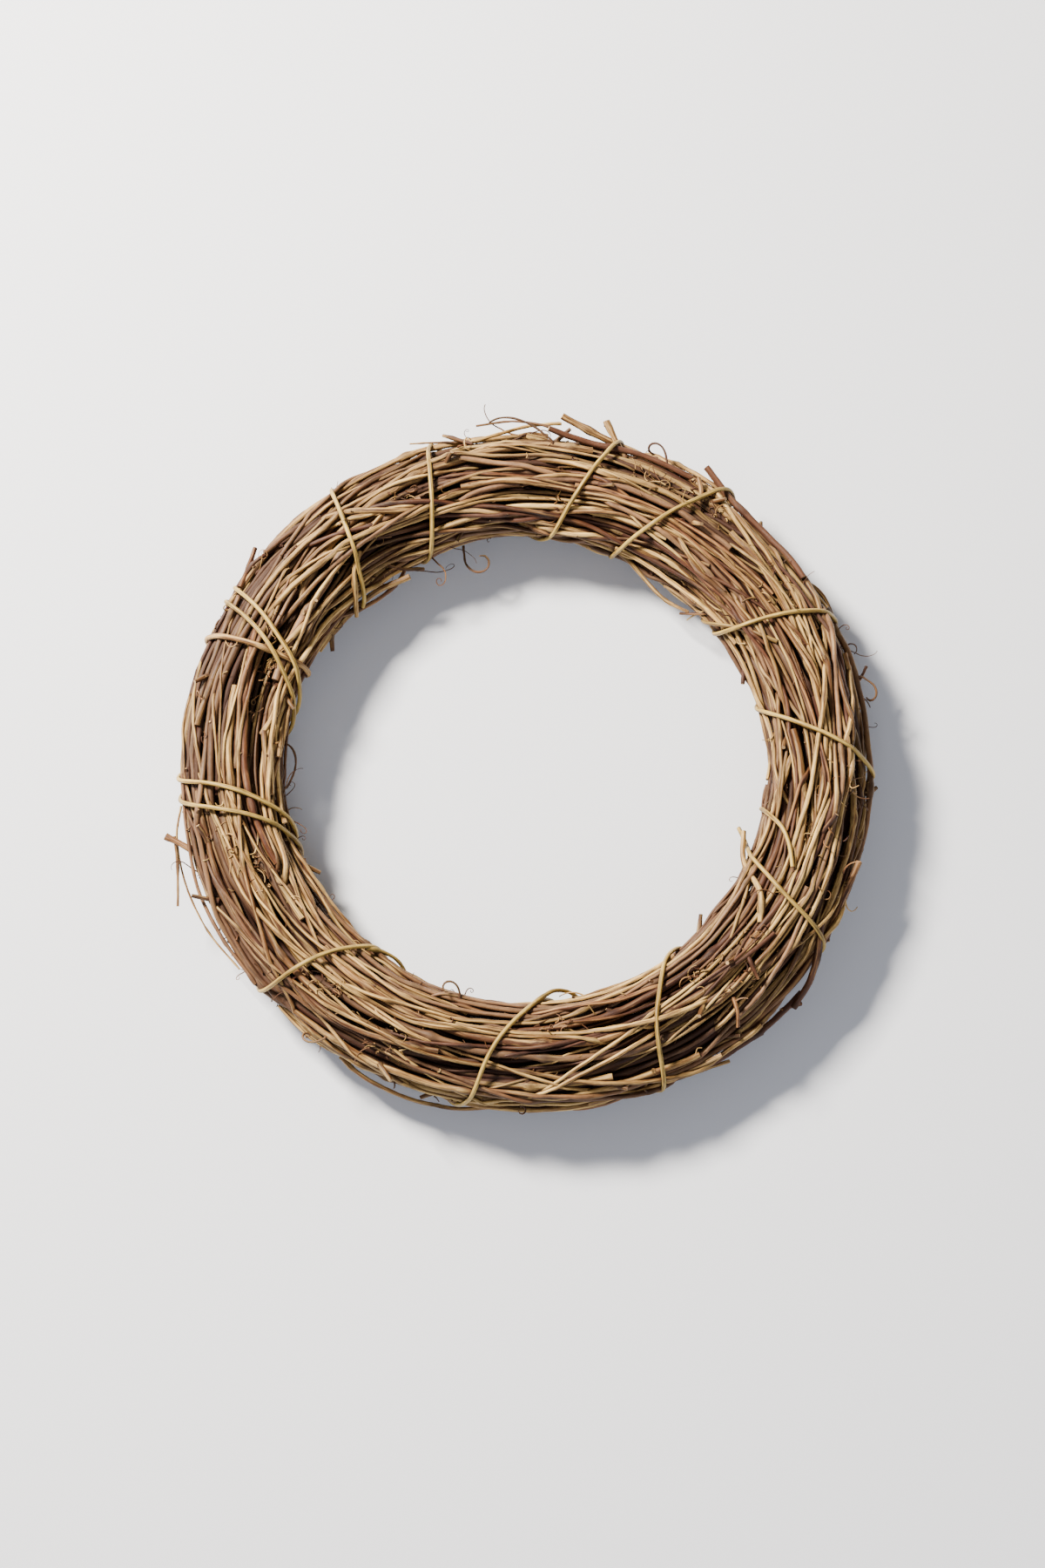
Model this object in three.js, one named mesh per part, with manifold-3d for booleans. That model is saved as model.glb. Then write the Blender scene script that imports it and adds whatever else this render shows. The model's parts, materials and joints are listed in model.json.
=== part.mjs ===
// A wreath of dry climbing vines, lying flat. Long vines are coiled into a ring in four layers, a few stray
// twigs ride on the outside, and thinner vines are wound round the bundle to hold it together. Short broken
// spurs and curled tendrils grow from the outermost vines.
//
// A place on the wreath is given by three values:
//   clock    degrees round the ring, clockwise from 12 o'clock (+Y), seen from above
//   section  degrees round the bundle: 0 the outer edge, 90 the top, 180 the hole's edge, 270 the underside
//   reach    distance from the middle of the bundle, in its own cross-section
// Millimetres, +Z up. The ring's centre stands over the origin and the wreath lies on z = 0.

import * as THREE from "three";
import { mergeVertices } from "three/addons/utils/BufferGeometryUtils.js";
import Module from "manifold-3d";

const wasm = await Module();
wasm.setup();

// Driving dimensions.
const OUTER_DIAMETER = 250;
const BUNDLE_WIDTH = 39;
const BUNDLE_HEIGHT = 34;
const BINDING_RADIUS = 1.25;
const CLEARANCE = 0.32;
const TABLE_PRESS = 0.3; // how far the lowest turns of the binding are pressed flat by what they lie on
const STEP = 10; // degrees of the ring between two cross-sections of a vine
const BINDING_STEPS = 20; // cross-sections in one turn of the binding
const SEED = 20;

// What follows from them.
const RING = (OUTER_DIAMETER - BUNDLE_WIDTH) / 2;
const MEAN_REACH = (BUNDLE_WIDTH + BUNDLE_HEIGHT) / 4;
const WIDE = BUNDLE_WIDTH / 2 / MEAN_REACH;
const TALL = BUNDLE_HEIGHT / 2 / MEAN_REACH;
const SQUARE_FLAT = Math.SQRT1_2; // a square section's flat is this share of its corner's reach
const UNDERSIDE = CLEARANCE + BINDING_RADIUS * (1 + SQUARE_FLAT) - TABLE_PRESS;
const FLOOR = -0.93 * (BUNDLE_HEIGHT / 2); // the bundle has settled flat underneath
const MIDDLE_HEIGHT = UNDERSIDE - FLOOR;
const LAP = 360;
const HOLE_EDGE = 180; // the section angle where a binding's turn begins
const OUTER_EDGE = 180; // how far round the bundle it has then wound at the outer edge
const FREE_END = 150; // the section angle that a free end beside the hole is counted from

const rad = THREE.MathUtils.degToRad;

// Bark colours, with the part of the wreath that each is seen on.
const BARK = {
  tan: new THREE.MeshStandardMaterial({ color: 0xb08a58, roughness: 0.72, metalness: 0 }),
  brown: new THREE.MeshStandardMaterial({ color: 0x80593a, roughness: 0.8, metalness: 0 }),
  russet: new THREE.MeshStandardMaterial({ color: 0x6b4238, roughness: 0.8, metalness: 0 }),
  binding: new THREE.MeshStandardMaterial({ color: 0xb59a55, roughness: 0.62, metalness: 0 }),
};

// The four layers of coiled vines, from the middle outwards. Each layer is one long helix with a lane for
// every lap, cut into vines of about `laps` turns. `sway` is how far, in degrees of section, the lanes
// wander round the bundle once, twice and three times in a lap, so that one layer crosses the next at a
// small angle.
const LAYERS = [
  {
    name: "core_vine",
    barks: ["brown"],
    lanes: 3,
    reach: 3.5,
    thick: [2.5, 2.9],
    laps: 1.5,
    sides: 3,
    hand: 1,
    sway: [0, 0, 0],
  },
  {
    name: "inner_vine",
    barks: ["brown", "russet"],
    lanes: 7,
    reach: 8.4,
    thick: [2.0, 2.4],
    laps: 1.5,
    sides: 3,
    hand: -1,
    sway: [20, 10, 6],
  },
  {
    name: "middle_vine",
    barks: ["russet", "brown", "tan"],
    lanes: 14,
    reach: 12.5,
    thick: [1.6, 2.1],
    laps: 1.5,
    sides: 3,
    hand: 1,
    sway: [-38, 16, 9],
  },
  {
    name: "outer_vine",
    barks: ["tan", "brown", "tan", "tan", "russet", "tan"],
    lanes: 22,
    reach: 16.2,
    thick: [1.25, 2.15],
    laps: 1.35,
    sides: 4,
    hand: -1,
    sway: [34, -20, 12],
  },
];
const SWAY_PHASES = [40, 205, 310];
const LANE_WANDER = 1.1; // how many lanes' widths one vine strays by itself
const DEPTH_WANDER = 1.3;
const END_GAP = 9; // degrees between the end of one vine and the start of the next in its lane
const END_LIFT = 1.4; // the cut ends of the outer vines spring out by this much
const TAPER = 0.28; // share of its thickness that a vine loses from butt to tip
const INTERNODE = 33; // degrees between two leaf nodes, where a vine is swollen
const SWELL = 1.14;
const TWIST = 0.4; // degrees that a vine turns about itself for each degree of the ring
const STANDS_OFF = 2; // a twig with more extra reach than this stands off the bundle

// How the bundle settles.
const SETTLING_ROUNDS = 260;
const PARTING_ROUNDS = 140; // the last rounds, which only part what still overlaps
const PULL_HOME = 0.03; // share of the way that a vine is drawn back to its lane in one round
const STRAIGHTENING = 0.22; // share of a kink that is taken out in one round
const PARTING = 0.7; // share of an overlap that is put right in one round
const STAND_OFF_GIVE = 0.1; // how much a twig that stands off gives way, compared with one that lies tight
const NEIGHBOURHOOD = 8; // vines further apart than this don't press on each other

// Twigs that lie over the coiled vines. A route is [clock, section, extra reach] from butt to tip, and the
// extra reach is left out where the twig lies tight.
const RIDER_REACH = 19.6;
const RIDER_PROUD = 0.95; // they may stand this far out of the bundle's outline
const RIDERS = [
  { bark: "tan", thick: 1.75, route: [[338, 150], [352, 140], [10, 128], [32, 112]] },
  { bark: "tan", thick: 2.0, route: [[288, 142], [306, 130], [322, 118], [338, 100]] },
  { bark: "brown", thick: 2.1, route: [[306, 108], [325, 82], [340, 60], [358, 42], [12, 34]] },
  { bark: "tan", thick: 2.1, route: [[225, 74], [248, 88], [268, 96], [284, 96]] },
  { bark: "tan", thick: 1.7, route: [[42, 62], [62, 84], [80, 96], [100, 92], [118, 80]] },
  { bark: "brown", thick: 1.7, route: [[128, 98], [150, 78], [172, 88], [200, 104], [226, 112]] },
  { bark: "tan", thick: 1.6, route: [[150, 20], [178, 38], [200, 32], [222, 24]] },
  { bark: "russet", thick: 1.6, route: [[66, 36], [88, 52], [108, 74], [128, 92]] },
  { bark: "brown", thick: 1.5, route: [[196, 74], [220, 58], [240, 48], [264, 52]] },
  { bark: "tan", thick: 1.5, route: [[262, 128], [280, 142], [298, 158]] },
  { bark: "brown", thick: 1.45, route: [[346, 112], [4, 94], [24, 82], [44, 86]] },
  { bark: "russet", thick: 1.7, route: [[246, 120], [262, 110], [280, 98], [296, 82]] },
  { bark: "tan", thick: 1.6, route: [[84, 118], [100, 106], [116, 88], [130, 66]] },
  { bark: "brown", thick: 1.6, route: [[298, 22], [322, 8], [346, 14], [4, 6]] },
  { bark: "tan", thick: 1.5, route: [[58, 2], [80, 14], [104, 4], [122, -10]] },
];
// Stray ends that stand off the bundle.
const STRAYS = [
  {
    name: "stray_twig_top", bark: "brown", thick: 1.55,
    route: [[6, 22, 9.2], [12, 20, 4], [18, 17, 0.6], [27, 12], [38, 8]],
  },
  {
    name: "stray_twig_top_short", bark: "russet", thick: 1.3,
    route: [[4, 40, 5.6], [10, 36, 2], [19, 30], [30, 28]],
  },
  {
    name: "stray_twig_one_o_clock", bark: "russet", thick: 1.5,
    route: [[31, 20, 7], [35, 18, 3], [42, 20], [56, 26]],
  },
  {
    name: "stray_twig_in_hole", bark: "tan", thick: 1.4,
    route: [[300, 192], [312, 186, 0.4], [321, 178, 2.6], [329, 172, 5.6]],
  },
  {
    name: "stray_twig_slack", bark: "tan", thick: 1.1,
    route: [[22, 166], [33, 170, 1.4], [42, 170, 1.8], [50, 168, 0.6], [60, 164]],
  },
  {
    name: "stray_twig_right", bark: "russet", thick: 1.5,
    route: [[107, 22, 2.6], [114, 14, 1.2], [122, 6, 0.2], [134, 0], [146, 0]],
  },
  {
    name: "stray_twig_fork", bark: "russet", thick: 1.4,
    route: [[130, 352, 4.6], [138, 354, 4.4], [147, 354, 3.2], [158, 350, 0.6], [172, 344]],
  },
  {
    name: "stray_twig_low", bark: "brown", thick: 1.05,
    route: [[147, 12, 3.4], [154, 8, 0.8], [170, 8]],
  },
  {
    name: "stray_twig_left", bark: "brown", thick: 0.75,
    route: [[230, 14, 1.4], [240, 16, 2.8], [249, 18, 2.6], [258, 22, 0.6], [268, 26]],
  },
];

// Side shoots, each growing from the outermost vine at its clock and section angle. A spur leans along the
// vine, and a tendril sets off at `lean` degrees from straight out and winds up by `curl` turns.
const SHOOTS = [
  { kind: "spur", clock: 258, section: 12, length: 7.5 },
  { kind: "spur", clock: 12.5, section: 28, length: 6 },
  { kind: "spur", clock: 141, section: 58, length: 5 },
  { kind: "spur", clock: 132, section: 98, length: 4.5 },
  { kind: "spur", clock: 36, section: 96, length: 5 },
  { kind: "spur", clock: 304, section: 104, length: 3.5 },
  { kind: "spur", clock: 349, section: 62, length: 3.5 },
  { kind: "tendril", clock: 345, section: 184, length: 27, lean: -24, curl: 0.95 },
  { kind: "tendril", clock: 195, section: 156, length: 15, lean: 20, curl: 0.9 },
  { kind: "tendril", clock: 254, section: 178, length: 20, lean: 58, curl: 0.3 },
  { kind: "tendril", clock: 0, section: 40, length: 30, lean: -58, curl: -0.25 },
  { kind: "tendril", clock: 66, section: 24, length: 17, lean: 40, curl: 0.7 },
  { kind: "tendril", clock: 225, section: 24, length: 15, lean: 30, curl: 0.8 },
  { kind: "tendril", clock: 26, section: 30, length: 18, lean: -30, curl: -0.8 },
];
const SEEDED_SPURS = 20;
const SPUR_LENGTH = [2.2, 5.5];
const SPUR_LEAN = [35, 58];
const SPUR_THICK = 0.6; // share of the vine that it grows from
const SPUR_TIP = 0.6; // share of its own root
const TENDRIL_RADIUS = 0.48;
const TENDRIL_STEPS = 12;
const TENDRIL_TIGHTENING = 2.2; // nearly straight at its root, tightly wound at its tip
const TENDRIL_DRIFT = 0.3; // how much it moves on across its own curl
const SHOOT_TRIES = 9; // places that are tried for a shoot, half a step apart
const UNDERSIDE_ARC = [215, 325]; // sections where nothing may stand out, because the wreath lies on them

// The binding vines, as turns: where each crosses the hole's edge, the top and the outer edge, by clock. A
// start or an end is [section, clock, extra reach], counted on from the turn beside it, with no extra reach
// if it lies tight.
const BINDINGS = [
  {
    name: "binding_twig_brown",
    bark: "brown",
    start: [[262, 295]],
    turns: [[293.4, 292.6, 292]],
    end: [[278, 291.4]],
  },
  {
    name: "binding_vine_1",
    bark: "binding",
    start: [[168, 105.5, 6.5]],
    turns: [
      [110.5, 119.3, 122.8],
      [141.5, 154.4, 158],
      [174.5, 186.4, 190.4],
      [216.5, 225.6, 228.8],
      [250.2, 258.6, 264.4],
      [281.6, 295.4, 299.3],
    ],
    end: [[270, 304], [225, 306.5]],
  },
  {
    name: "binding_vine_2",
    bark: "binding",
    start: [[300, 243.5], [250, 247]],
    turns: [
      [253.6, 263.4, 267.8],
      [285.6, 298.6, 302.2],
      [315.4, 322.4, 325.8],
      [335.4, 341.2, 344.6],
      [364.6, 372.2, 376.9],
      [381.8, 390.6, 397.6],
      [414.6, 420.6, 424.9],
      [435.6, 445.6, 452.2],
    ],
    end: [[270, 456.4], [180, 460.6], [118, 466, 0.2], [98, 473.5]],
  },
];

// How a binding is laid over what it holds.
const TIGHT_LEAN = 75; // degrees to each side over which a tight binding bridges the hollows between vines
const LIFTING_ROUNDS = 30;
const LIFTING = 0.6; // share of an overlap that is put right in one round
const LONGEST_PIECE = 24; // the longest straight piece of a vine

/** Numbers from 0 to 1 in an order that is the same on every run. */
function seededRandom(seed) {
  let state = seed >>> 0;
  return () => {
    state = (state + 0x6d2b79f5) >>> 0;
    let mixed = Math.imul(state ^ (state >>> 15), state | 1);
    mixed ^= mixed + Math.imul(mixed ^ (mixed >>> 7), mixed | 61);
    return ((mixed ^ (mixed >>> 14)) >>> 0) / 4294967296;
  };
}

/** The clock angles at which a vine from one clock to another has its cross-sections. */
function sectionClocks(from, to) {
  const clocks = [from];
  const nearest = STEP * 0.3;
  for (let at = Math.floor(from / STEP + 1) * STEP; at < to - nearest; at += STEP) {
    if (at > from + nearest) clocks.push(at);
  }
  clocks.push(to);
  return clocks;
}

/** A smooth value through knots of [at, value], with `at` rising. */
function through(knots, at) {
  let i = 0;
  while (i < knots.length - 2 && at > knots[i + 1][0]) i += 1;
  const slope = (k) => {
    const before = knots[Math.max(k - 1, 0)];
    const after = knots[Math.min(k + 1, knots.length - 1)];
    return (after[1] - before[1]) / (after[0] - before[0]);
  };
  const [x0, y0] = knots[i];
  const [x1, y1] = knots[i + 1];
  const t = THREE.MathUtils.clamp((at - x0) / (x1 - x0), 0, 1);
  const width = x1 - x0;
  const bend0 = (1 - t) * t * (1 - t) * slope(i) * width;
  const bend1 = t * t * (t - 1) * slope(i + 1) * width;
  return y0 * (1 + 2 * t) * (1 - t) ** 2 + y1 * t * t * (3 - 2 * t) + bend0 + bend1;
}

/** One vine as cross-sections: `out` and `up` are each section's place from the middle of the bundle. */
function newVine(name, bark, sides, clocks, phase) {
  const count = clocks.length;
  return {
    name,
    bark,
    sides,
    clocks,
    phase,
    out: new Float64Array(count),
    up: new Float64Array(count),
    aimOut: new Float64Array(count),
    aimUp: new Float64Array(count),
    thick: new Float64Array(count),
    extra: new Float64Array(count),
    sin: clocks.map((clock) => Math.sin(rad(clock))),
    cos: clocks.map((clock) => Math.cos(rad(clock))),
  };
}

/** Sets where a vine's section k lies, and where it is drawn back to while the bundle settles. */
function aim(vine, k, section, reach, thick, extra) {
  vine.out[k] = vine.aimOut[k] = reach * WIDE * Math.cos(rad(section));
  vine.up[k] = vine.aimUp[k] = reach * TALL * Math.sin(rad(section));
  vine.thick[k] = thick;
  vine.extra[k] = extra;
}

/** Swells a vine at its leaf nodes. */
function swellAtNodes(vine) {
  const first = vine.clocks[0] - vine.phase;
  for (let k = 1; k + 1 < vine.clocks.length; k += 1) {
    const past = (vine.clocks[k] - first) % INTERNODE;
    if (past < STEP) vine.thick[k] *= SWELL;
  }
}

/** The vines of one layer, cut from its helix. */
function coiledVines(layer, random) {
  const vines = [];
  const total = layer.lanes * LAP;
  const laneWidth = LAP / layer.lanes;
  let from = 0;
  while (from < total - LAP / 3) {
    const wanted = from + layer.laps * LAP * (0.8 + 0.4 * random());
    const to = total - wanted < LAP / 2 ? total - END_GAP : wanted;
    const bark = layer.barks[vines.length % layer.barks.length];
    const name = layer.name + "_" + String(vines.length + 1).padStart(2, "0");
    const vine = newVine(name, bark, layer.sides, sectionClocks(from, to), random() * LAP);
    const thick = THREE.MathUtils.lerp(layer.thick[0], layer.thick[1], random());
    const [waveA, waveB, waveC] = [random() * LAP, random() * LAP, random() * LAP];
    vine.clocks.forEach((clock, k) => {
      const sways = layer.sway.map((size, n) => size * Math.sin(rad((n + 1) * clock + SWAY_PHASES[n])));
      const sway = sways[0] + sways[1] + sways[2];
      const drift = 0.6 * Math.sin(rad(1.3 * clock + waveA)) + 0.4 * Math.sin(rad(3.1 * clock + waveC));
      const stray = laneWidth * LANE_WANDER * drift;
      const section = (layer.hand * laneWidth * clock) / LAP + sway + stray;
      const depth = DEPTH_WANDER * Math.sin(rad(2.3 * clock + waveB));
      const atEnd = k === 0 || k === vine.clocks.length - 1;
      const lift = layer.sides > 3 && atEnd ? END_LIFT : 0;
      const narrowed = thick * (1 - (TAPER * k) / (vine.clocks.length - 1));
      aim(vine, k, section, layer.reach + depth + lift, narrowed, lift);
    });
    swellAtNodes(vine);
    vines.push(vine);
    from = to + END_GAP;
  }
  return vines;
}

/** A twig that follows its own route over the coiled vines. */
function routedTwig({ name, bark, thick, route }, index) {
  const ahead = (value, k, turn) => {
    let unwound = value;
    while (k > 0 && unwound < turn[k - 1] - 180) unwound += LAP;
    turn[k] = unwound;
    return unwound;
  };
  const clocksAlong = [];
  const knots = route.map(([clock, section, extra = 0], k) => [ahead(clock, k, clocksAlong), section, extra]);
  const clocks = sectionClocks(knots[0][0], knots[knots.length - 1][0]);
  const vine = newVine(name, bark, 4, clocks, 37 * index);
  clocks.forEach((clock, k) => {
    const section = through(knots.map((knot) => [knot[0], knot[1]]), clock);
    const extra = Math.max(0, through(knots.map((knot) => [knot[0], knot[2]]), clock));
    aim(vine, k, section, RIDER_REACH + extra, thick, Math.max(extra, RIDER_PROUD));
  });
  swellAtNodes(vine);
  return vine;
}

/** Lists a vine's pieces between sections by the step of the ring that each lies in. */
function piecesByStep(vines) {
  const steps = Array.from({ length: LAP / STEP }, () => []);
  for (const vine of vines) {
    for (let k = 0; k + 1 < vine.clocks.length; k += 1) {
      const middle = (vine.clocks[k] + vine.clocks[k + 1]) / 2;
      const step = ((Math.floor(middle / STEP) % steps.length) + steps.length) % steps.length;
      steps[step].push([vine, k]);
    }
  }
  return steps;
}

/** How far along each of two straight pieces their nearest points are, from 0 to 1. */
function nearestShares(ax, ay, az, bx, by, bz, wx, wy, wz) {
  const aa = ax * ax + ay * ay + az * az;
  const bb = bx * bx + by * by + bz * bz;
  const ab = ax * bx + ay * by + az * bz;
  const aw = ax * wx + ay * wy + az * wz;
  const bw = bx * wx + by * wy + bz * wz;
  const apart = aa * bb - ab * ab;
  let s = apart > 1e-9 * aa * bb ? Math.min(1, Math.max(0, (ab * bw - bb * aw) / apart)) : 0.5;
  const t = Math.min(1, Math.max(0, (ab * s + bw) / bb));
  s = Math.min(1, Math.max(0, (ab * t - aw) / aa));
  return [s, t];
}

/** Pushes two pieces of vine apart, across the bundle, until they clear each other. */
function pushApart(vineA, a, vineB, b) {
  const place = (vine, k) => {
    const radius = RING + vine.out[k];
    return [radius * vine.sin[k], radius * vine.cos[k], vine.up[k]];
  };
  const [a0, a1] = [place(vineA, a), place(vineA, a + 1)];
  const [b0, b1] = [place(vineB, b), place(vineB, b + 1)];
  const along = (p, q) => [q[0] - p[0], q[1] - p[1], q[2] - p[2]];
  const [da, db, w] = [along(a0, a1), along(b0, b1), along(b0, a0)];
  const [s, t] = nearestShares(...da, ...db, ...w);
  const gap = [0, 1, 2].map((i) => w[i] + da[i] * s - db[i] * t);
  const distance = Math.hypot(...gap);
  const thickA = vineA.thick[a] * (1 - s) + vineA.thick[a + 1] * s;
  const thickB = vineB.thick[b] * (1 - t) + vineB.thick[b + 1] * t;
  const short = thickA + thickB + CLEARANCE - distance;
  if (short <= 0 || distance < 1e-9) return;
  const shift = (vine, k, share, size) => {
    const scale = (size * share) / distance;
    vine.out[k] += scale * (gap[0] * vine.sin[k] + gap[1] * vine.cos[k]);
    vine.up[k] += scale * gap[2];
  };
  const giveA = vineA.extra[a] + vineA.extra[a + 1] > STANDS_OFF ? STAND_OFF_GIVE : 1;
  const giveB = vineB.extra[b] + vineB.extra[b + 1] > STANDS_OFF ? STAND_OFF_GIVE : 1;
  const half = (PARTING * short) / (giveA + giveB);
  shift(vineA, a, 1 - s, half * giveA);
  shift(vineA, a + 1, s, half * giveA);
  shift(vineB, b, 1 - t, -half * giveB);
  shift(vineB, b + 1, t, -half * giveB);
}

/** Keeps a vine inside the bundle's outline and above its flat underside. */
function confine(vine) {
  for (let k = 0; k < vine.clocks.length; k += 1) {
    const halfWide = BUNDLE_WIDTH / 2 - vine.thick[k] + vine.extra[k];
    const halfTall = BUNDLE_HEIGHT / 2 - vine.thick[k] + vine.extra[k];
    const over = Math.hypot(vine.out[k] / halfWide, vine.up[k] / halfTall);
    if (over > 1) {
      vine.out[k] /= over;
      vine.up[k] /= over;
    }
    vine.up[k] = Math.max(vine.up[k], FLOOR + vine.thick[k]);
  }
}

/**
 * Lets the bundle settle: vines are drawn to their lanes, stay smooth, and press on each other without
 * crossing.
 */
function settle(vines) {
  const steps = piecesByStep(vines);
  for (let round = 0; round < SETTLING_ROUNDS + PARTING_ROUNDS; round += 1) {
    if (round < SETTLING_ROUNDS) {
      for (const vine of vines) {
        const { out, up } = vine;
        for (let k = 0; k < out.length; k += 1) {
          out[k] += PULL_HOME * (vine.aimOut[k] - out[k]);
          up[k] += PULL_HOME * (vine.aimUp[k] - up[k]);
        }
        for (let k = 1; k + 1 < out.length; k += 1) {
          out[k] += STRAIGHTENING * ((out[k - 1] + out[k + 1]) / 2 - out[k]);
          up[k] += STRAIGHTENING * ((up[k - 1] + up[k + 1]) / 2 - up[k]);
        }
      }
    }
    for (const pieces of steps) {
      for (let i = 0; i < pieces.length; i += 1) {
        for (let j = i + 1; j < pieces.length; j += 1) {
          const [vineA, a] = pieces[i];
          const [vineB, b] = pieces[j];
          if (vineA === vineB && Math.abs(a - b) <= 1) continue;
          const near = vineA.thick[a] + vineB.thick[b] + NEIGHBOURHOOD;
          const apart = Math.abs(vineA.out[a] - vineB.out[b]) + Math.abs(vineA.up[a] - vineB.up[b]);
          if (apart < 2 * near) pushApart(vineA, a, vineB, b);
        }
      }
    }
    vines.forEach(confine);
  }
}

/** A section's middle in space. */
function placeOf(vine, k) {
  const radius = RING + vine.out[k];
  return new THREE.Vector3(radius * vine.sin[k], radius * vine.cos[k], MIDDLE_HEIGHT + vine.up[k]);
}

/**
 * A closed solid through rings of points, all with the same number of corners and seen anticlockwise
 * from ahead.
 */
function ringedGeometry(rings) {
  const sides = rings[0].length;
  const index = [];
  for (let k = 0; k + 1 < rings.length; k += 1) {
    for (let i = 0; i < sides; i += 1) {
      const j = (i + 1) % sides;
      const [a, b, c, d] = [k * sides + i, k * sides + j, (k + 1) * sides + j, (k + 1) * sides + i];
      index.push(a, b, c, a, c, d);
    }
  }
  const last = (rings.length - 1) * sides;
  for (let i = 1; i + 1 < sides; i += 1) {
    index.push(0, i + 1, i);
    index.push(last, last + i, last + i + 1);
  }
  const geometry = new THREE.BufferGeometry().setFromPoints(rings.flat());
  geometry.setIndex(index);
  return geometry;
}

/** A vine's solid. Its rings of corners stand in planes through the wreath's axis. */
function vineGeometry(vine) {
  const rings = vine.clocks.map((clock, k) => {
    const centre = placeOf(vine, k);
    const outward = new THREE.Vector3(vine.sin[k], vine.cos[k], 0);
    const turn = rad(vine.phase + TWIST * (clock - vine.clocks[0]));
    return Array.from({ length: vine.sides }, (_, i) => {
      const angle = turn + (2 * Math.PI * i) / vine.sides;
      const corner = centre.clone().addScaledVector(outward, vine.thick[k] * Math.cos(angle));
      corner.z += vine.thick[k] * Math.sin(angle);
      return corner;
    });
  });
  return ringedGeometry(rings);
}

/** Where the vines' middles cross the half-plane at a clock angle, with their thickness. */
function crossSection(steps, clock) {
  const wound = ((clock % LAP) + LAP) % LAP;
  const found = [];
  for (const [vine, k] of steps[Math.floor(wound / STEP) % steps.length]) {
    const lap = Math.round((vine.clocks[k] - wound) / LAP) * LAP;
    const [before, after] = [wound + lap - vine.clocks[k], vine.clocks[k + 1] - wound - lap];
    if (before < -1e-6 || after < -1e-6) continue;
    const [r0, r1] = [RING + vine.out[k], RING + vine.out[k + 1]];
    const [w0, w1] = [r0 * Math.sin(rad(before)), r1 * Math.sin(rad(after))];
    const share = w0 / (w0 + w1);
    const radius = (r0 * r1 * Math.sin(rad(before + after))) / (w0 + w1);
    found.push({
      vine,
      k,
      share,
      out: radius - RING,
      up: THREE.MathUtils.lerp(vine.up[k], vine.up[k + 1], share),
      thick: THREE.MathUtils.lerp(vine.thick[k], vine.thick[k + 1], share),
      stray: Math.max(vine.extra[k], vine.extra[k + 1]) > STANDS_OFF,
    });
  }
  return found;
}

/**
 * How far from the middle a tight binding runs, at a section angle, over the vines found at one clock
 * angle.
 */
function tightReach(found, section) {
  let reach = Infinity;
  for (let lean = -TIGHT_LEAN; lean <= TIGHT_LEAN; lean += 5) {
    const facing = rad(section + lean);
    const [c, s] = [Math.cos(facing), Math.sin(facing)];
    const support = Math.max(...found.filter((v) => !v.stray).map((v) => v.out * c + v.up * s + v.thick));
    reach = Math.min(reach, (support + BINDING_RADIUS + CLEARANCE) / Math.cos(rad(lean)));
  }
  return reach;
}

/**
 * The knots of a binding as [travel, clock, extra], where travel is degrees wound round the bundle so
 * far.
 */
function bindingKnots({ start, turns, end }) {
  const knots = [];
  turns.forEach(([inner, top, outer], n) => {
    knots.push([n * LAP, inner, 0], [n * LAP + 90, top, 0], [n * LAP + OUTER_EDGE, outer, 0]);
  });
  const before = start.map(([section, clock, extra = 0]) => {
    return [section > HOLE_EDGE ? HOLE_EDGE - section : FREE_END - section, clock, extra];
  });
  let travel = (turns.length - 1) * LAP + OUTER_EDGE;
  const after = end.map(([section, clock, extra = 0]) => {
    let next = HOLE_EDGE - section;
    while (next < travel) next += LAP;
    travel = next;
    return [travel, clock, extra];
  });
  return [...before, ...knots, ...after];
}

/**
 * The middle line of a binding vine, laid tightly over the vines and over the bindings that are already
 * on.
 */
function bindingRoute(binding, steps, laid) {
  const knots = bindingKnots(binding);
  const [first, last] = [knots[0][0], knots[knots.length - 1][0]];
  const count = Math.max(2, Math.round(((last - first) * BINDING_STEPS) / LAP));
  const points = Array.from({ length: count + 1 }, (_, i) => {
    const travel = first + ((last - first) * i) / count;
    const clock = through(knots.map((knot) => [knot[0], knot[1]]), travel);
    const extra = Math.max(0, through(knots.map((knot) => [knot[0], knot[2]]), travel));
    const section = 180 - travel;
    return { clock, section, reach: tightReach(crossSection(steps, clock), section) + extra };
  });
  const obstacles = steps.flat().map(([vine, k]) => ({
    ends: [placeOf(vine, k), placeOf(vine, k + 1)],
    thick: Math.max(vine.thick[k], vine.thick[k + 1]),
  }));
  obstacles.push(...laid);
  const space = ({ clock, section, reach }) => {
    const radius = RING + reach * Math.cos(rad(section));
    const height = MIDDLE_HEIGHT + reach * Math.sin(rad(section));
    return new THREE.Vector3(radius * Math.sin(rad(clock)), radius * Math.cos(rad(clock)), height);
  };
  for (let round = 0; round < LIFTING_ROUNDS; round += 1) {
    for (let i = 0; i + 1 < points.length; i += 1) {
      const [p, q] = [space(points[i]), space(points[i + 1])];
      const reachable = p.distanceTo(q) + LONGEST_PIECE;
      for (const { ends, thick } of obstacles) {
        if (ends[0].distanceTo(p) > reachable) continue;
        const da = q.clone().sub(p);
        const db = ends[1].clone().sub(ends[0]);
        const w = p.clone().sub(ends[0]);
        const [s, t] = nearestShares(da.x, da.y, da.z, db.x, db.y, db.z, w.x, w.y, w.z);
        const distance = w.addScaledVector(da, s).addScaledVector(db, -t).length();
        const short = thick + BINDING_RADIUS + CLEARANCE - distance;
        if (short > 0) {
          points[i].reach += LIFTING * short * (1 - s);
          points[i + 1].reach += LIFTING * short * s;
        }
      }
    }
  }
  return points.map(space);
}

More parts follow.
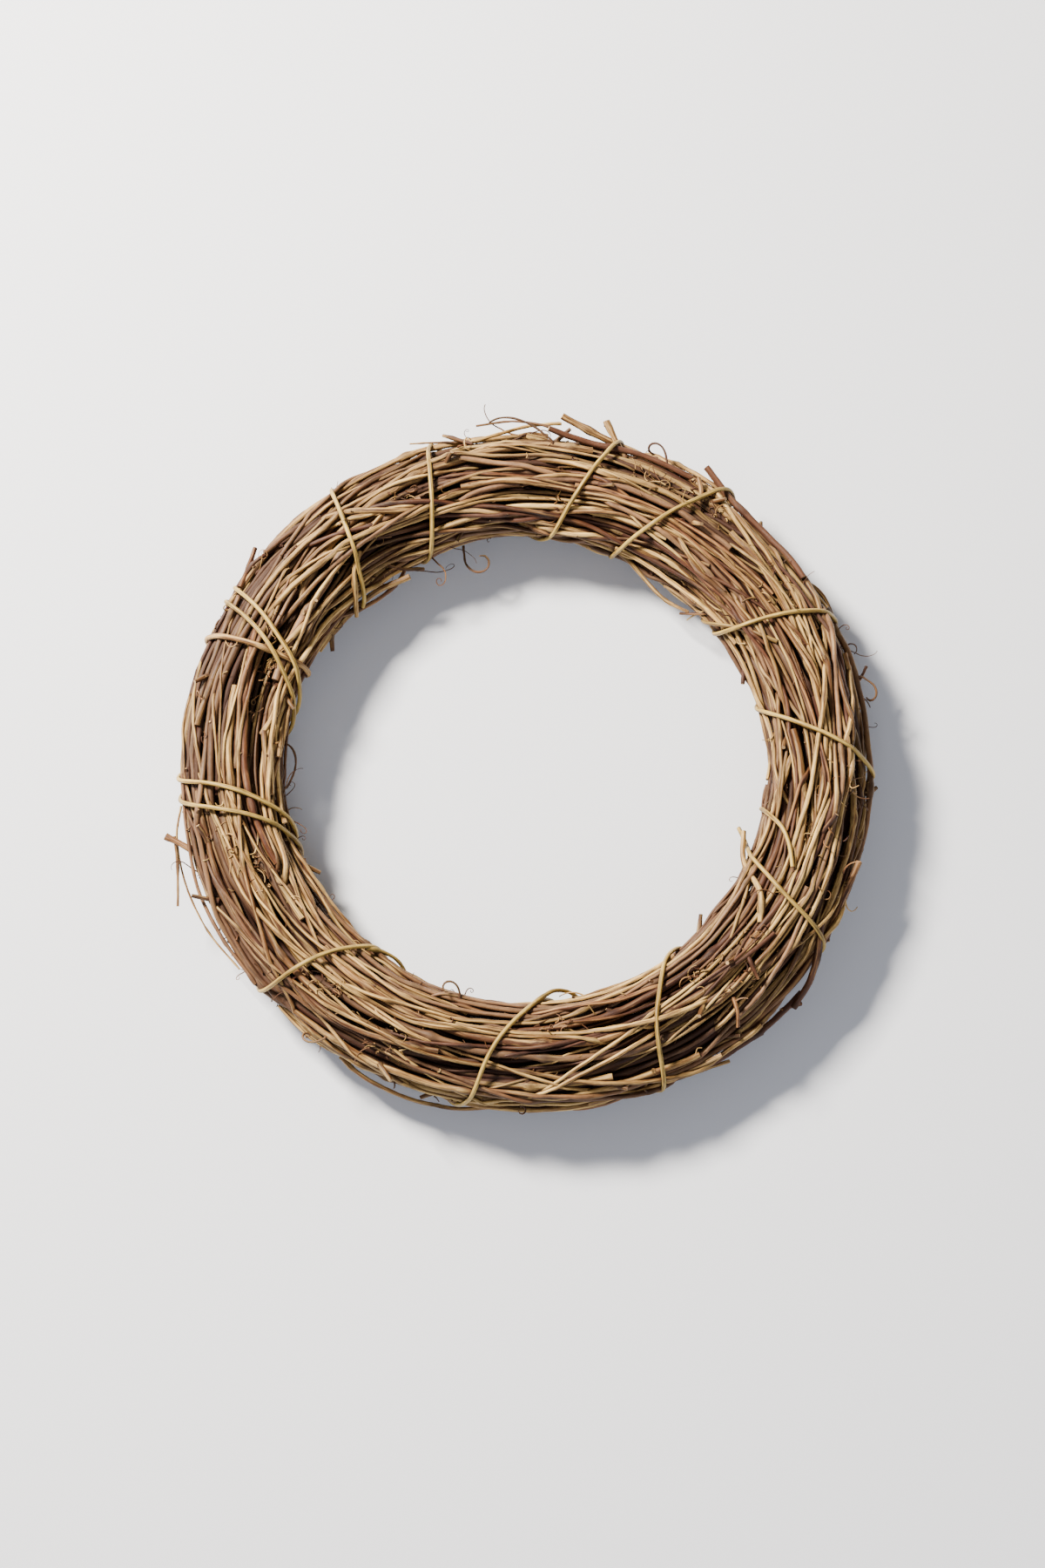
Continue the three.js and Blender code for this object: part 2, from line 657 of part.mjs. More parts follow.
/**
 * A binding vine's solid: square sections, one flat to the bundle, pressed flat where it would go under
 * z = 0.
 */
function bindingGeometry(route) {
  const rings = route.map((point, i) => {
    const ahead = route[Math.min(i + 1, route.length - 1)].clone().sub(route[Math.max(i - 1, 0)]).normalize();
    const middle = new THREE.Vector3(point.x, point.y, 0).setLength(RING).setZ(MIDDLE_HEIGHT);
    const away = point.clone().sub(middle);
    away.addScaledVector(ahead, -away.dot(ahead)).normalize();
    const across = new THREE.Vector3().crossVectors(ahead, away);
    return [45, 135, 225, 315].map((angle) => {
      const corner = point.clone().addScaledVector(away, BINDING_RADIUS * Math.cos(rad(angle)));
      corner.addScaledVector(across, BINDING_RADIUS * Math.sin(rad(angle)));
      corner.z = Math.max(corner.z, 0);
      return corner;
    });
  });
  return ringedGeometry(rings);
}

/** The outermost vine seen from a section angle, halfway between two cross-sections. */
function outermost(steps, clock, section) {
  const [c, s] = [Math.cos(rad(section)), Math.sin(rad(section))];
  const halfway = (Math.floor(clock / STEP) + 0.5) * STEP;
  const sturdy = crossSection(steps, halfway).filter(({ vine, k, stray }) => {
    return !stray && vine.sides === 4 && vine.clocks[k + 1] - vine.clocks[k] > 0.9 * STEP;
  });
  const support = (found) => found.out * c + found.up * s + found.thick;
  return sturdy.reduce((best, found) => (support(found) > support(best) ? found : best));
}

/** The path and radii of a side shoot, from the middle of the vine that it grows from. */
function shootPath({ kind, section, length, lean, curl }, root) {
  const { vine, k, share, thick } = root;
  const [start, next] = [placeOf(vine, k), placeOf(vine, k + 1)];
  const along = next.clone().sub(start).normalize();
  const base = start.lerp(next, share);
  const out = new THREE.Vector3(base.x, base.y, 0).normalize().multiplyScalar(Math.cos(rad(section)));
  out.z = Math.sin(rad(section));
  out.addScaledVector(along, -out.dot(along)).normalize();
  if (kind === "spur") {
    const away = out.clone().multiplyScalar(Math.cos(rad(lean))).addScaledVector(along, Math.sin(rad(lean)));
    const tip = base.clone().addScaledVector(away, length + thick / Math.cos(rad(lean)));
    return { points: [base, tip], radii: [SPUR_THICK * thick, SPUR_THICK * SPUR_TIP * thick] };
  }
  const drift = new THREE.Vector3().crossVectors(out, along).multiplyScalar(TENDRIL_DRIFT);
  const points = [base, base.clone().addScaledVector(out, thick + 0.6)];
  for (let i = 1; i < TENDRIL_STEPS; i += 1) {
    const angle = rad(lean + curl * LAP * (i / TENDRIL_STEPS) ** TENDRIL_TIGHTENING);
    const way = out.clone().multiplyScalar(Math.cos(angle));
    way.addScaledVector(along, Math.sin(angle)).add(drift);
    points.push(points[i].clone().addScaledVector(way.normalize(), length / TENDRIL_STEPS));
  }
  return { points, radii: points.map(() => TENDRIL_RADIUS) };
}

/** Whether a shoot clears the ground, every other vine, the bindings and the shoots before it. */
function isClear({ points, radii }, root, steps, laid) {
  const others = steps.flat().filter(([vine, k]) => vine !== root.vine || Math.abs(k - root.k) > 1);
  const obstacles = others.map(([vine, k]) => ({
    ends: [placeOf(vine, k), placeOf(vine, k + 1)],
    thick: Math.max(vine.thick[k], vine.thick[k + 1]),
  }));
  obstacles.push(...laid);
  for (let i = 0; i + 1 < points.length; i += 1) {
    const [p, q] = [points[i], points[i + 1]];
    if (q.z < radii[i + 1] + CLEARANCE) return false;
    for (const { ends, thick } of obstacles) {
      const da = q.clone().sub(p);
      const db = ends[1].clone().sub(ends[0]);
      const w = p.clone().sub(ends[0]);
      const [s, t] = nearestShares(da.x, da.y, da.z, db.x, db.y, db.z, w.x, w.y, w.z);
      const distance = w.addScaledVector(da, s).addScaledVector(db, -t).length();
      if (distance < thick + radii[i] + CLEARANCE) return false;
    }
  }
  return true;
}

/** Grows a shoot at its place, or as near to it round the ring as there is room. */
function growShoot(shoot, steps, laid, grown) {
  for (let tries = 0; tries < SHOOT_TRIES; tries += 1) {
    const aside = Math.ceil(tries / 2) * (tries % 2 ? 1 : -1);
    const root = outermost(steps, shoot.clock + aside * 0.5 * STEP, shoot.section);
    const path = shootPath(shoot, root);
    if (!isClear(path, root, steps, laid)) continue;
    const { points, radii } = path;
    for (let i = 0; i + 1 < points.length; i += 1) {
      laid.push({ ends: [points[i], points[i + 1]], thick: radii[i] });
    }
    grown.push({ name: root.vine.name, ...path });
    return true;
  }
  return false;
}

/** A shoot's solid, with three sides. */
function shootGeometry({ points, radii }) {
  let side = new THREE.Vector3(0, 0, 1);
  const rings = points.map((point, i) => {
    const before = points[Math.max(i - 1, 0)];
    const after = points[Math.min(i + 1, points.length - 1)];
    const ahead = after.clone().sub(before).normalize();
    side = side.clone().addScaledVector(ahead, -side.dot(ahead)).normalize();
    const across = new THREE.Vector3().crossVectors(ahead, side);
    return [0, 120, 240].map((angle) => {
      const corner = point.clone().addScaledVector(side, radii[i] * Math.cos(rad(angle)));
      return corner.addScaledVector(across, radii[i] * Math.sin(rad(angle)));
    });
  });
  return ringedGeometry(rings);
}

/** A geometry as a solid that can be joined to others. */
function solidOf(geometry) {
  const merged = mergeVertices(geometry, 1e-4);
  const vertProperties = merged.attributes.position.array;
  const triVerts = new Uint32Array(merged.index.array);
  return new wasm.Manifold(new wasm.Mesh({ numProp: 3, vertProperties, triVerts }));
}

/** A vine's geometry with its shoots fused to it. */
function withShoots(geometry, shoots) {
  if (shoots.length === 0) return geometry;
  const joined = shoots.reduce((solid, shoot) => solid.add(solidOf(shootGeometry(shoot))), solidOf(geometry));
  const { vertProperties, triVerts } = joined.getMesh();
  const fused = new THREE.BufferGeometry();
  fused.setAttribute("position", new THREE.BufferAttribute(vertProperties, 3));
  fused.setIndex(new THREE.BufferAttribute(triVerts, 1));
  return fused;
}

const random = seededRandom(SEED);
const riders = RIDERS.map((rider, n) => ({ name: `riding_twig_${n + 1}`, ...rider }));
const vines = [
  ...LAYERS.flatMap((layer) => coiledVines(layer, random)),
  ...[...riders, ...STRAYS].map(routedTwig),
];
settle(vines);

const steps = piecesByStep(vines);
const laid = [];
const bindings = BINDINGS.map((binding) => {
  const route = bindingRoute(binding, steps, laid);
  for (let i = 0; i + 1 < route.length; i += 1) {
    laid.push({ ends: [route[i], route[i + 1]], thick: BINDING_RADIUS });
  }
  return { ...binding, route };
});

const shoots = [];
for (const shoot of SHOOTS) growShoot({ lean: SPUR_LEAN[0], ...shoot }, steps, laid, shoots);
for (let spur = 0; spur < SEEDED_SPURS; spur += 1) {
  const clock = ((spur + random()) * LAP) / SEEDED_SPURS;
  const openArc = LAP - (UNDERSIDE_ARC[1] - UNDERSIDE_ARC[0]);
  const section = UNDERSIDE_ARC[1] + openArc * random();
  const lean = THREE.MathUtils.lerp(SPUR_LEAN[0], SPUR_LEAN[1], random()) * (random() < 0.5 ? -1 : 1);
  const length = THREE.MathUtils.lerp(SPUR_LENGTH[0], SPUR_LENGTH[1], random());
  growShoot({ kind: "spur", clock, section, length, lean }, steps, laid, shoots);
}

const wreath = new THREE.Group();
for (const vine of vines) {
  const own = shoots.filter(({ name }) => name === vine.name);
  const mesh = new THREE.Mesh(withShoots(vineGeometry(vine), own), BARK[vine.bark]);
  mesh.name = vine.name;
  wreath.add(mesh);
}
for (const { name, bark, route } of bindings) {
  const mesh = new THREE.Mesh(bindingGeometry(route), BARK[bark]);
  mesh.name = name;
  wreath.add(mesh);
}

const extent = new THREE.Box3().setFromObject(wreath);
const middle = extent.getCenter(new THREE.Vector3());
wreath.position.set(-middle.x, -middle.y, -extent.min.z);

export default wreath;
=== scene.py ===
"""Dresses the twig wreath.

Every vine of the frame is read back as a middle line with a thickness, grown with leaf nodes, bends and
buds, and swept again as a round vine with bark. Finer twigs, tendrils and shreds of bark are then laid over
and between them.
"""
import json
import logging
import math
import random
from dataclasses import dataclass, field
from enum import Enum
from typing import Any, Iterable, Iterator, Sequence

import bmesh
import bpy
import numpy as np
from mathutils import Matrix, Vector
from mathutils.kdtree import KDTree


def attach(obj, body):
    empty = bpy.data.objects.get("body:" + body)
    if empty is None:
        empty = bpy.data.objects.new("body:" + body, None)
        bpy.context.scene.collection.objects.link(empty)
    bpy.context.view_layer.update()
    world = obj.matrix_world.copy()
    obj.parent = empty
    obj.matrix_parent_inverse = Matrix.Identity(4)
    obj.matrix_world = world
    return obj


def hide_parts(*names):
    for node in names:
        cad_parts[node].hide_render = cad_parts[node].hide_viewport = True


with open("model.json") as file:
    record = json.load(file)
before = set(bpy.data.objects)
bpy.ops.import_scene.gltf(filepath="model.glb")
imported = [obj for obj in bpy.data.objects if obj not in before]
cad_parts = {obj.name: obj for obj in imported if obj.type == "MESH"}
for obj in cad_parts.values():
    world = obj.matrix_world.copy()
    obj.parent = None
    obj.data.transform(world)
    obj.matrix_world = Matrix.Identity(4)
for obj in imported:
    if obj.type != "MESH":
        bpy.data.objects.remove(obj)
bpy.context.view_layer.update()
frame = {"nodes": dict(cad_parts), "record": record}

MM = 0.001
UP = Vector((0, 0, 1))
Colour = tuple[float, float, float, float]
Span = tuple[float, float]
Piece = tuple[bpy.types.Object, "Bark", tuple[str, ...]]

logging.basicConfig(level=logging.INFO, format="%(name)s: %(message)s")
log = logging.getLogger("wreath")


class Bark(Enum):
    """The kinds of bark, by the record's material slots."""

    TAN = "bark_tan"
    BROWN = "bark_brown"
    RUSSET = "bark_russet"
    BINDING = "binding_bark"


def linear(display: str) -> Colour:
    """A display colour such as "#b08a58" as the linear values that a shader takes."""
    channels = [int(display[i : i + 2], 16) / 255 for i in (1, 3, 5)]
    return (*[c / 12.92 if c <= 0.04045 else ((c + 0.055) / 1.055) ** 2.4 for c in channels], 1.0)


class Graph:
    """A node tree that is being written, for a material or for Geometry Nodes."""

    def __init__(self, tree: bpy.types.NodeTree) -> None:
        """Takes the tree."""
        self.tree = tree

    def add(self, kind: str, settings: dict[str, Any] | None = None, **sockets: Any) -> bpy.types.Node:
        """Adds a node.

        Args:
            kind: The node's type.
            settings: Its own properties, which are set before its sockets.
            sockets: A value, a node's socket or an Output for each input, by its name with _ for a space,
                or by its place as i0, i1 and so on.

        Returns:
            The new node.
        """
        node = self.tree.nodes.new(kind)
        for name, value in (settings or {}).items():
            setattr(node, name, value)
        for name, value in sockets.items():
            by_place = name[0] == "i" and name[1:].isdigit()
            self.join(value, node.inputs[int(name[1:]) if by_place else name.replace("_", " ")])
        return node

    def join(self, value: Any, socket: bpy.types.NodeSocket) -> None:
        """Links an output to a socket, or sets the socket to a plain value.

        Args:
            value: A node's socket, an Output or a plain value.
            socket: The socket that takes it.
        """
        if isinstance(value, Output):
            value = value.socket
        if isinstance(value, bpy.types.NodeSocket):
            self.tree.links.new(value, socket)
        else:
            socket.default_value = value

    def out(self, node: bpy.types.Node, name: str | int = 0) -> "Output":
        """Wraps one of a node's outputs."""
        return Output(self, node.outputs[name])

    def noise(self, vector: Any, detail: float = 2.0, roughness: float = 0.5) -> "Output":
        """Noise of about one wave for each unit of a vector, from 0 to 1."""
        sockets = {"Vector": vector, "Scale": 1.0, "Detail": detail, "Roughness": roughness}
        return self.out(self.add("ShaderNodeTexNoise", **sockets), 0)

    def stretched(self, vector: Any, scale: Sequence[float]) -> "Output":
        """A vector with each of its parts scaled."""
        settings = {"operation": "MULTIPLY"}
        return self.out(self.add("ShaderNodeVectorMath", settings, i0=vector, i1=tuple(scale)))

    def ramp(self, value: Any, low: float, high: float) -> "Output":
        """A smooth step from 0 at low to 1 at high."""
        settings = {"interpolation_type": "SMOOTHSTEP"}
        return self.out(self.add("ShaderNodeMapRange", settings, Value=value, From_Min=low, From_Max=high))

    def mix(self, share: Any, first: Any, second: Any) -> "Output":
        """A colour between two."""
        return self.out(self.add("ShaderNodeMix", {"data_type": "RGBA"}, i0=share, i6=first, i7=second), 2)

    def scaled(self, vector: Any, factor: Any) -> "Output":
        """A colour made lighter or darker, or a vector made longer or shorter."""
        return self.out(self.add("ShaderNodeVectorMath", {"operation": "SCALE"}, i0=vector, Scale=factor))


@dataclass
class Output:
    """A node's output that adds Math nodes when it is used in an expression.

    Attributes:
        graph: The tree that it is in.
        socket: The output's own socket.
    """

    graph: Graph
    socket: bpy.types.NodeSocket

    def math(self, operation: str, first: Any, second: Any = None) -> "Output":
        """Adds one Math node.

        Args:
            operation: The node's operation.
            first: Its first value or link.
            second: Its second one, where it has one.

        Returns:
            The node's result.
        """
        sockets = {"i0": first} if second is None else {"i0": first, "i1": second}
        return self.graph.out(self.graph.add("ShaderNodeMath", {"operation": operation}, **sockets))

    def __add__(self, other: Any) -> "Output":
        """Sum."""
        return self.math("ADD", self, other)

    def __radd__(self, other: Any) -> "Output":
        """Sum with a plain number."""
        return self.math("ADD", other, self)

    def __sub__(self, other: Any) -> "Output":
        """Difference."""
        return self.math("SUBTRACT", self, other)

    def __rsub__(self, other: Any) -> "Output":
        """Difference from a plain number."""
        return self.math("SUBTRACT", other, self)

    def __mul__(self, other: Any) -> "Output":
        """Product."""
        return self.math("MULTIPLY", self, other)

    def __rmul__(self, other: Any) -> "Output":
        """Product with a plain number."""
        return self.math("MULTIPLY", other, self)

    def __gt__(self, other: Any) -> "Output":
        """Whether it is greater, as 1 or 0."""
        return self.math("GREATER_THAN", self, other)


@dataclass(frozen=True)
class BarkFinish:
    """Dry bark. Its pattern runs along each twig, on the twig's own grain coordinates in millimetres.

    Attributes:
        bark: The kind of bark.
        pale: Colour of its raised fibres.
        plain: Its main colour.
        deep: Colour of its furrows and older stretches.
        flush: Colour of its blotches.
        weathered: Colour that its oldest twigs have faded to.
        flush_share: How much of it is blotched, from 0 to 1.
        roughness: Its mean roughness.
        relief: Depth of its fibres in millimetres.
        wood: Colour of a cut end.
        painted_shade: Colour of the shade painted where twigs touch and deep inside the bundle.
        stretch_scale: Waves in a millimetre of its old and fresh stretches, across it twice and along it.
        streak_scale: The same of its streaks.
        fibre_scale: The same of its fibres.
        blotch_scale: The same of its blotches.
        speck_scale: The same of its specks.
        reflectance: Its specular level, which is low because it is dry.
    """

    bark: Bark
    pale: str
    plain: str
    deep: str
    flush: str
    weathered: str
    flush_share: float
    roughness: float
    relief: float
    wood: str = "#b6966a"
    painted_shade: str = "#341104"
    stretch_scale = (0.10, 0.10, 0.022)
    streak_scale = (1.3, 1.3, 0.06)
    fibre_scale = (4.0, 4.0, 0.35)
    blotch_scale = (0.28, 0.28, 0.08)
    speck_scale = (1.1, 1.1, 0.8)
    reflectance = 0.28

    def build(self) -> bpy.types.Material:
        """Makes the material.

        Returns:
            The bark, which reads the attributes that the sweep stores.
        """
        material = bpy.data.materials.new(self.bark.value)
        material.use_nodes = True
        graph = Graph(material.node_tree)
        shader = material.node_tree.nodes["Principled BSDF"]
        shader.inputs["Specular IOR Level"].default_value = self.reflectance

        def attribute(name: str, output: str) -> Output:
            """Reads an attribute of the mesh."""
            return graph.out(graph.add("ShaderNodeAttribute", {"attribute_name": name}), output)

        grain = attribute("grain", "Vector")
        tint, tone = attribute("tint", "Fac"), attribute("tone", "Fac")
        knot, cut = attribute("knot", "Fac"), attribute("cut", "Fac")
        stretches = graph.noise(graph.stretched(grain, self.stretch_scale), detail=3)
        streaks = graph.noise(graph.stretched(grain, self.streak_scale), detail=4, roughness=0.6)
        fibres = graph.noise(graph.stretched(grain, self.fibre_scale), detail=3, roughness=0.6)
        blotches = graph.noise(graph.stretched(grain, self.blotch_scale), detail=3)
        specks = graph.noise(graph.stretched(grain, self.speck_scale), detail=2)

        fresh = graph.ramp(stretches + tone * 0.3, 0.34, 0.60)
        colour = graph.mix(fresh, linear(self.deep), linear(self.plain))
        colour = graph.mix(graph.ramp(streaks + tone * 0.1, 0.44, 0.68) * 0.8, colour, linear(self.pale))
        threshold = 0.70 - 0.34 * self.flush_share
        flushed = graph.ramp(blotches - tone * 0.25, threshold, threshold + 0.14)
        colour = graph.mix(flushed * 0.85, colour, linear(self.flush))
        colour = graph.mix(graph.ramp(1.0 - streaks, 0.50, 0.66) * 0.8, colour, linear(self.deep))
        colour = graph.mix(graph.ramp(-1.0 * tone, 0.05, 0.95) * 0.4, colour, linear(self.weathered))
        colour = graph.scaled(colour, (fibres - 0.5) * 0.95 + (specks - 0.5) * 0.42 + 0.84)
        # Painted shade: bark that lies deep in the bundle is darkened, and bark deep inside or where twigs
        # touch is blended towards a dark shade colour.
        deep, crevice = attribute("deep", "Fac"), attribute("crevice", "Fac")
        colour = graph.scaled(colour, (1.0 - knot * 0.42) * (tint + 1.0) * (1.0 - deep * 0.86))
        colour = graph.mix(cut, colour, linear(self.wood))
        shade_mask = crevice.math("MAXIMUM", crevice, deep * 0.6)
        colour = graph.mix(shade_mask * 0.9, colour, linear(self.painted_shade))
        graph.join(colour, shader.inputs["Base Color"])
        roughness = (streaks - 0.5) * 0.3 + knot * 0.12 + shade_mask * 0.3 + self.roughness
        graph.join(roughness, shader.inputs["Roughness"])
        height = streaks * 0.55 + fibres * 0.3 + specks * 0.25
        bump = graph.add("ShaderNodeBump", Strength=0.8, Distance=self.relief * MM, Height=height)
        graph.join(bump.outputs[0], shader.inputs["Normal"])
        return material


FINISHES = (
    BarkFinish(Bark.TAN, "#f0ca7e", "#ab834b", "#5a3616", "#82552f", "#a68868", 0.38, 0.48, 0.35),
    BarkFinish(Bark.BROWN, "#d8b070", "#8b6438", "#3e1f0c", "#6e4627", "#84684e", 0.5, 0.54, 0.45),
    BarkFinish(Bark.RUSSET, "#b78a57", "#74472a", "#321509", "#57301c", "#6a4c38", 0.6, 0.52, 0.40),
    BarkFinish(Bark.BINDING, "#d0b05e", "#9b7e3c", "#684c22", "#80602e", "#b09a66", 0.3, 0.42, 0.22),
)


@dataclass
class Strand:
    """A twig as a line through its middle.

    Attributes:
        points: The line.
        radii: Its radius at each point.
        tint: How much lighter or darker than its bark it is.
        tone: From -1, a weathered twig, to 1, a fresh pale one.
        knots: How much of a leaf node each point is, from 0 to 1.
    """

    points: list[Vector]
    radii: list[float]
    tint: float = 0.0
    tone: float = 0.0
    knots: list[float] = field(default_factory=list)


def eased(points: Sequence[Vector], radii: Sequence[float], step: float) -> tuple[list[Vector], list[float]]:
    """A smooth line through points.

    Args:
        points: The points.
        radii: The radius at each of them.
        step: The distance between the new points.

    Returns:
        The new points and their radii.
    """
    line, sizes = [], []
    last = len(points) - 1
    for k in range(last):
        p0, p1, p2, p3 = (points[min(max(i, 0), last)] for i in (k - 1, k, k + 1, k + 2))
        count = max(1, round((p2 - p1).length / step))
        for i in range(count):
            t = i / count
            bend = 2 * p0 - 5 * p1 + 4 * p2 - p3
            line.append(0.5 * (2 * p1 + (p2 - p0) * t + bend * t**2 + (3 * p1 - p0 - 3 * p2 + p3) * t**3))
            sizes.append(radii[k] + (radii[k + 1] - radii[k]) * t)
    return line + [points[last].copy()], sizes + [radii[last]]


@dataclass
class Ring:
    """Places on the wreath, by clock and section angle.

    The clock runs in degrees from 12 o'clock (+Y) as seen from above. The section angle runs round the
    bundle: 0 at the outer edge, 90 on top, 180 at the edge of the hole, 270 underneath.

    Attributes:
        hub: The middle of the ring, on the ground.
        radius: From the hub to the middle of the bundle.
        height: Of the middle of the bundle.
        half_width: Of the bundle, side to side.
        half_height: Of the bundle, top to bottom.
        shallow: The share of the way out to the outline where the painted shade of buried bark starts.
        shade: How much further in that painted shade is at its darkest.
    """

    hub: Vector
    radius: float
    height: float
    half_width: float = 19.5 * MM
    half_height: float = 17.0 * MM
    shallow: float = 0.985
    shade: float = 0.27

    def outward(self, clock: float) -> Vector:
        """The level direction away from the hub."""
        return Vector((math.sin(math.radians(clock)), math.cos(math.radians(clock)), 0))

    def place(self, clock: float, section: float, reach: float) -> Vector:
        """A point in the bundle.

        Args:
            clock: Its clock angle.
            section: Its section angle.
            reach: Its share of the way from the middle of the bundle to its outline.

        Returns:
            The point.
        """
        angle = math.radians(section)
        out = self.radius + reach * self.half_width * math.cos(angle)
        height = self.height + reach * self.half_height * math.sin(angle)
        return self.hub + self.outward(clock) * out + UP * height

    def stand_off(self, clock: float, section: float, gap: float) -> Vector:
        """A point at a distance from the outline of the bundle."""
        edge = self.place(clock, section, 1.0)
        return edge + (edge - self.middle(edge)).normalized() * gap

    def middle(self, point: Vector) -> Vector:
        """The middle of the bundle in a point's own cross-section."""
        level = Vector((point.x - self.hub.x, point.y - self.hub.y, 0))
        return self.hub + level.normalized() * self.radius + UP * self.height

    def depth(self, point: Vector) -> float:
        """How deep a point lies in the bundle.

        Args:
            point: The point.

        Returns:
            0 on the outline and 1 well inside.
        """
        off = point - self.middle(point)
        reach = math.hypot(off.xy.length / self.half_width, off.z / self.half_height)
        return min(max((self.shallow - reach) / self.shade, 0.0), 1.0)


class SolidReader:
    """Reads the frame's swept solids back as the lines that they were swept along.

    Attributes:
        same_plane: How far apart two corners' clock angles may be for one section, in radians.
        short_edge: Edges shorter than this go round a section and not along the solid.
        doubles: Corners nearer than this are one.
        clear: How many radii a corner of a side shoot is away from the middle line.
    """

    same_plane = 3e-4
    short_edge = 2.9 * MM
    doubles = 2e-6
    clear = 1.25

    def __init__(self, hub: Vector) -> None:
        """Takes the middle of the ring."""
        self.hub = hub

    def read(
        self, node: bpy.types.Object, in_planes: bool
    ) -> tuple[list[Vector], list[float], list[list[Vector]]]:
        """Reads one solid.

        Args:
            node: The frame's object.
            in_planes: Whether its rings of corners stand in planes through the wreath's axis.

        Returns:
            The middle line, its radii, and the line of each side shoot from its root outwards.
        """
        mesh = bmesh.new()
        mesh.from_mesh(node.data)
        bmesh.ops.remove_doubles(mesh, verts=mesh.verts, dist=self.doubles)
        mesh.verts.ensure_lookup_table()
        group = list(range(len(mesh.verts)))

        def leader(i: int) -> int:
            """Finds the corner that stands for a corner's whole section.

            Args:
                i: The corner.

            Returns:
                The one that stands for it.
            """
            while group[i] != i:
                group[i] = group[group[i]]
                i = group[i]
            return i

        for edge in mesh.edges:
            a, b = edge.verts
            if self.in_one_plane(a.co, b.co) if in_planes else edge.calc_length() < self.short_edge:
                group[leader(a.index)] = leader(b.index)
        members: dict[int, list[bmesh.types.BMVert]] = {}
        for vert in mesh.verts:
            members.setdefault(leader(vert.index), []).append(vert)
        sizes = [len(verts) for verts in members.values() if len(verts) > 2]
        sides = max(set(sizes), key=sizes.count)
        rings = {key: verts for key, verts in members.items() if len(verts) == sides}
        ring_of = {vert.index: key for key, verts in rings.items() for vert in verts}
        beside: dict[int, set[int]] = {key: set() for key in rings}
        for edge in mesh.edges:
            a, b = (ring_of.get(vert.index) for vert in edge.verts)
            if a is not None and b is not None and a != b:
                beside[a].add(b)
                beside[b].add(a)
        order = [next(key for key in rings if len(beside[key]) == 1)]
        while onward := beside[order[-1]] - set(order[-3:]):
            order.append(min(onward))
        points = [self.centre(rings[key]) for key in order]
        radii = [sum((v.co - p).length for v in rings[key]) / sides for key, p in zip(order, points)]
        shoots = self.shoots(mesh, ring_of, points, radii) if in_planes and sides > 3 else []
        mesh.free()
        if radii[0] < radii[-1]:
            points.reverse()
            radii.reverse()
        return points, radii, shoots

    @staticmethod
    def centre(verts: Iterable[bmesh.types.BMVert]) -> Vector:
        """The middle of some corners.

        They are added up in the order of their numbers, because a set's own order changes from run to run,
        and with it the last digit and then how the fine twigs settle.

        Args:
            verts: The corners.

        Returns:
            Their middle.
        """
        places = [vert.co for vert in sorted(verts, key=lambda vert: vert.index)]
        return sum(places, Vector()) / len(places)

    def in_one_plane(self, a: Vector, b: Vector) -> bool:
        """Whether two points are at the same clock angle."""
        a, b = a - self.hub, b - self.hub
        return abs(a.x * b.y - a.y * b.x) < self.same_plane * a.xy.length * b.xy.length

    def shoots(
        self, mesh: bmesh.types.BMesh, ring_of: dict[int, int], points: list[Vector], radii: list[float]
    ) -> list[list[Vector]]:
        """Finds what stands out of a vine's side.

        Args:
            mesh: The vine's solid.
            ring_of: The ring of each corner that belongs to one.
            points: The vine's middle line.
            radii: Its radii.

        Returns:
            The middle line of each shoot, from inside the vine to its tip.
        """
        def outside(vert: bmesh.types.BMVert) -> bool:
            """Whether a corner stands clear of the vine's own bark.

            Args:
                vert: The corner.

            Returns:
                True where it does.
            """
            away = [(points[k] + points[k + 1] - 2 * vert.co).length for k in range(len(points) - 1)]
            nearest = away.index(min(away))
            start, along = points[nearest], points[nearest + 1] - points[nearest]
            share = (vert.co - start).dot(along) / along.length_squared
            return (vert.co - start - along * share).length > self.clear * radii[nearest]

        free = {v for v in mesh.verts if v.index not in ring_of and outside(v)}
        found = []
        while roots := [v for v in free if any(e.other_vert(v) not in free for e in v.link_edges)]:
            first = min(roots, key=lambda v: v.index)
            layer = {first} | {e.other_vert(first) for e in first.link_edges if e.other_vert(first) in roots}
            base = {e.other_vert(v) for v in layer for e in v.link_edges} - free
            base = {v for v in base if v.index not in ring_of} or base
            line = [self.centre(base)]
            while layer:
                line.append(self.centre(layer))
                free -= layer
                layer = {e.other_vert(v) for v in layer for e in v.link_edges} & free
            found.append(line)
        return found


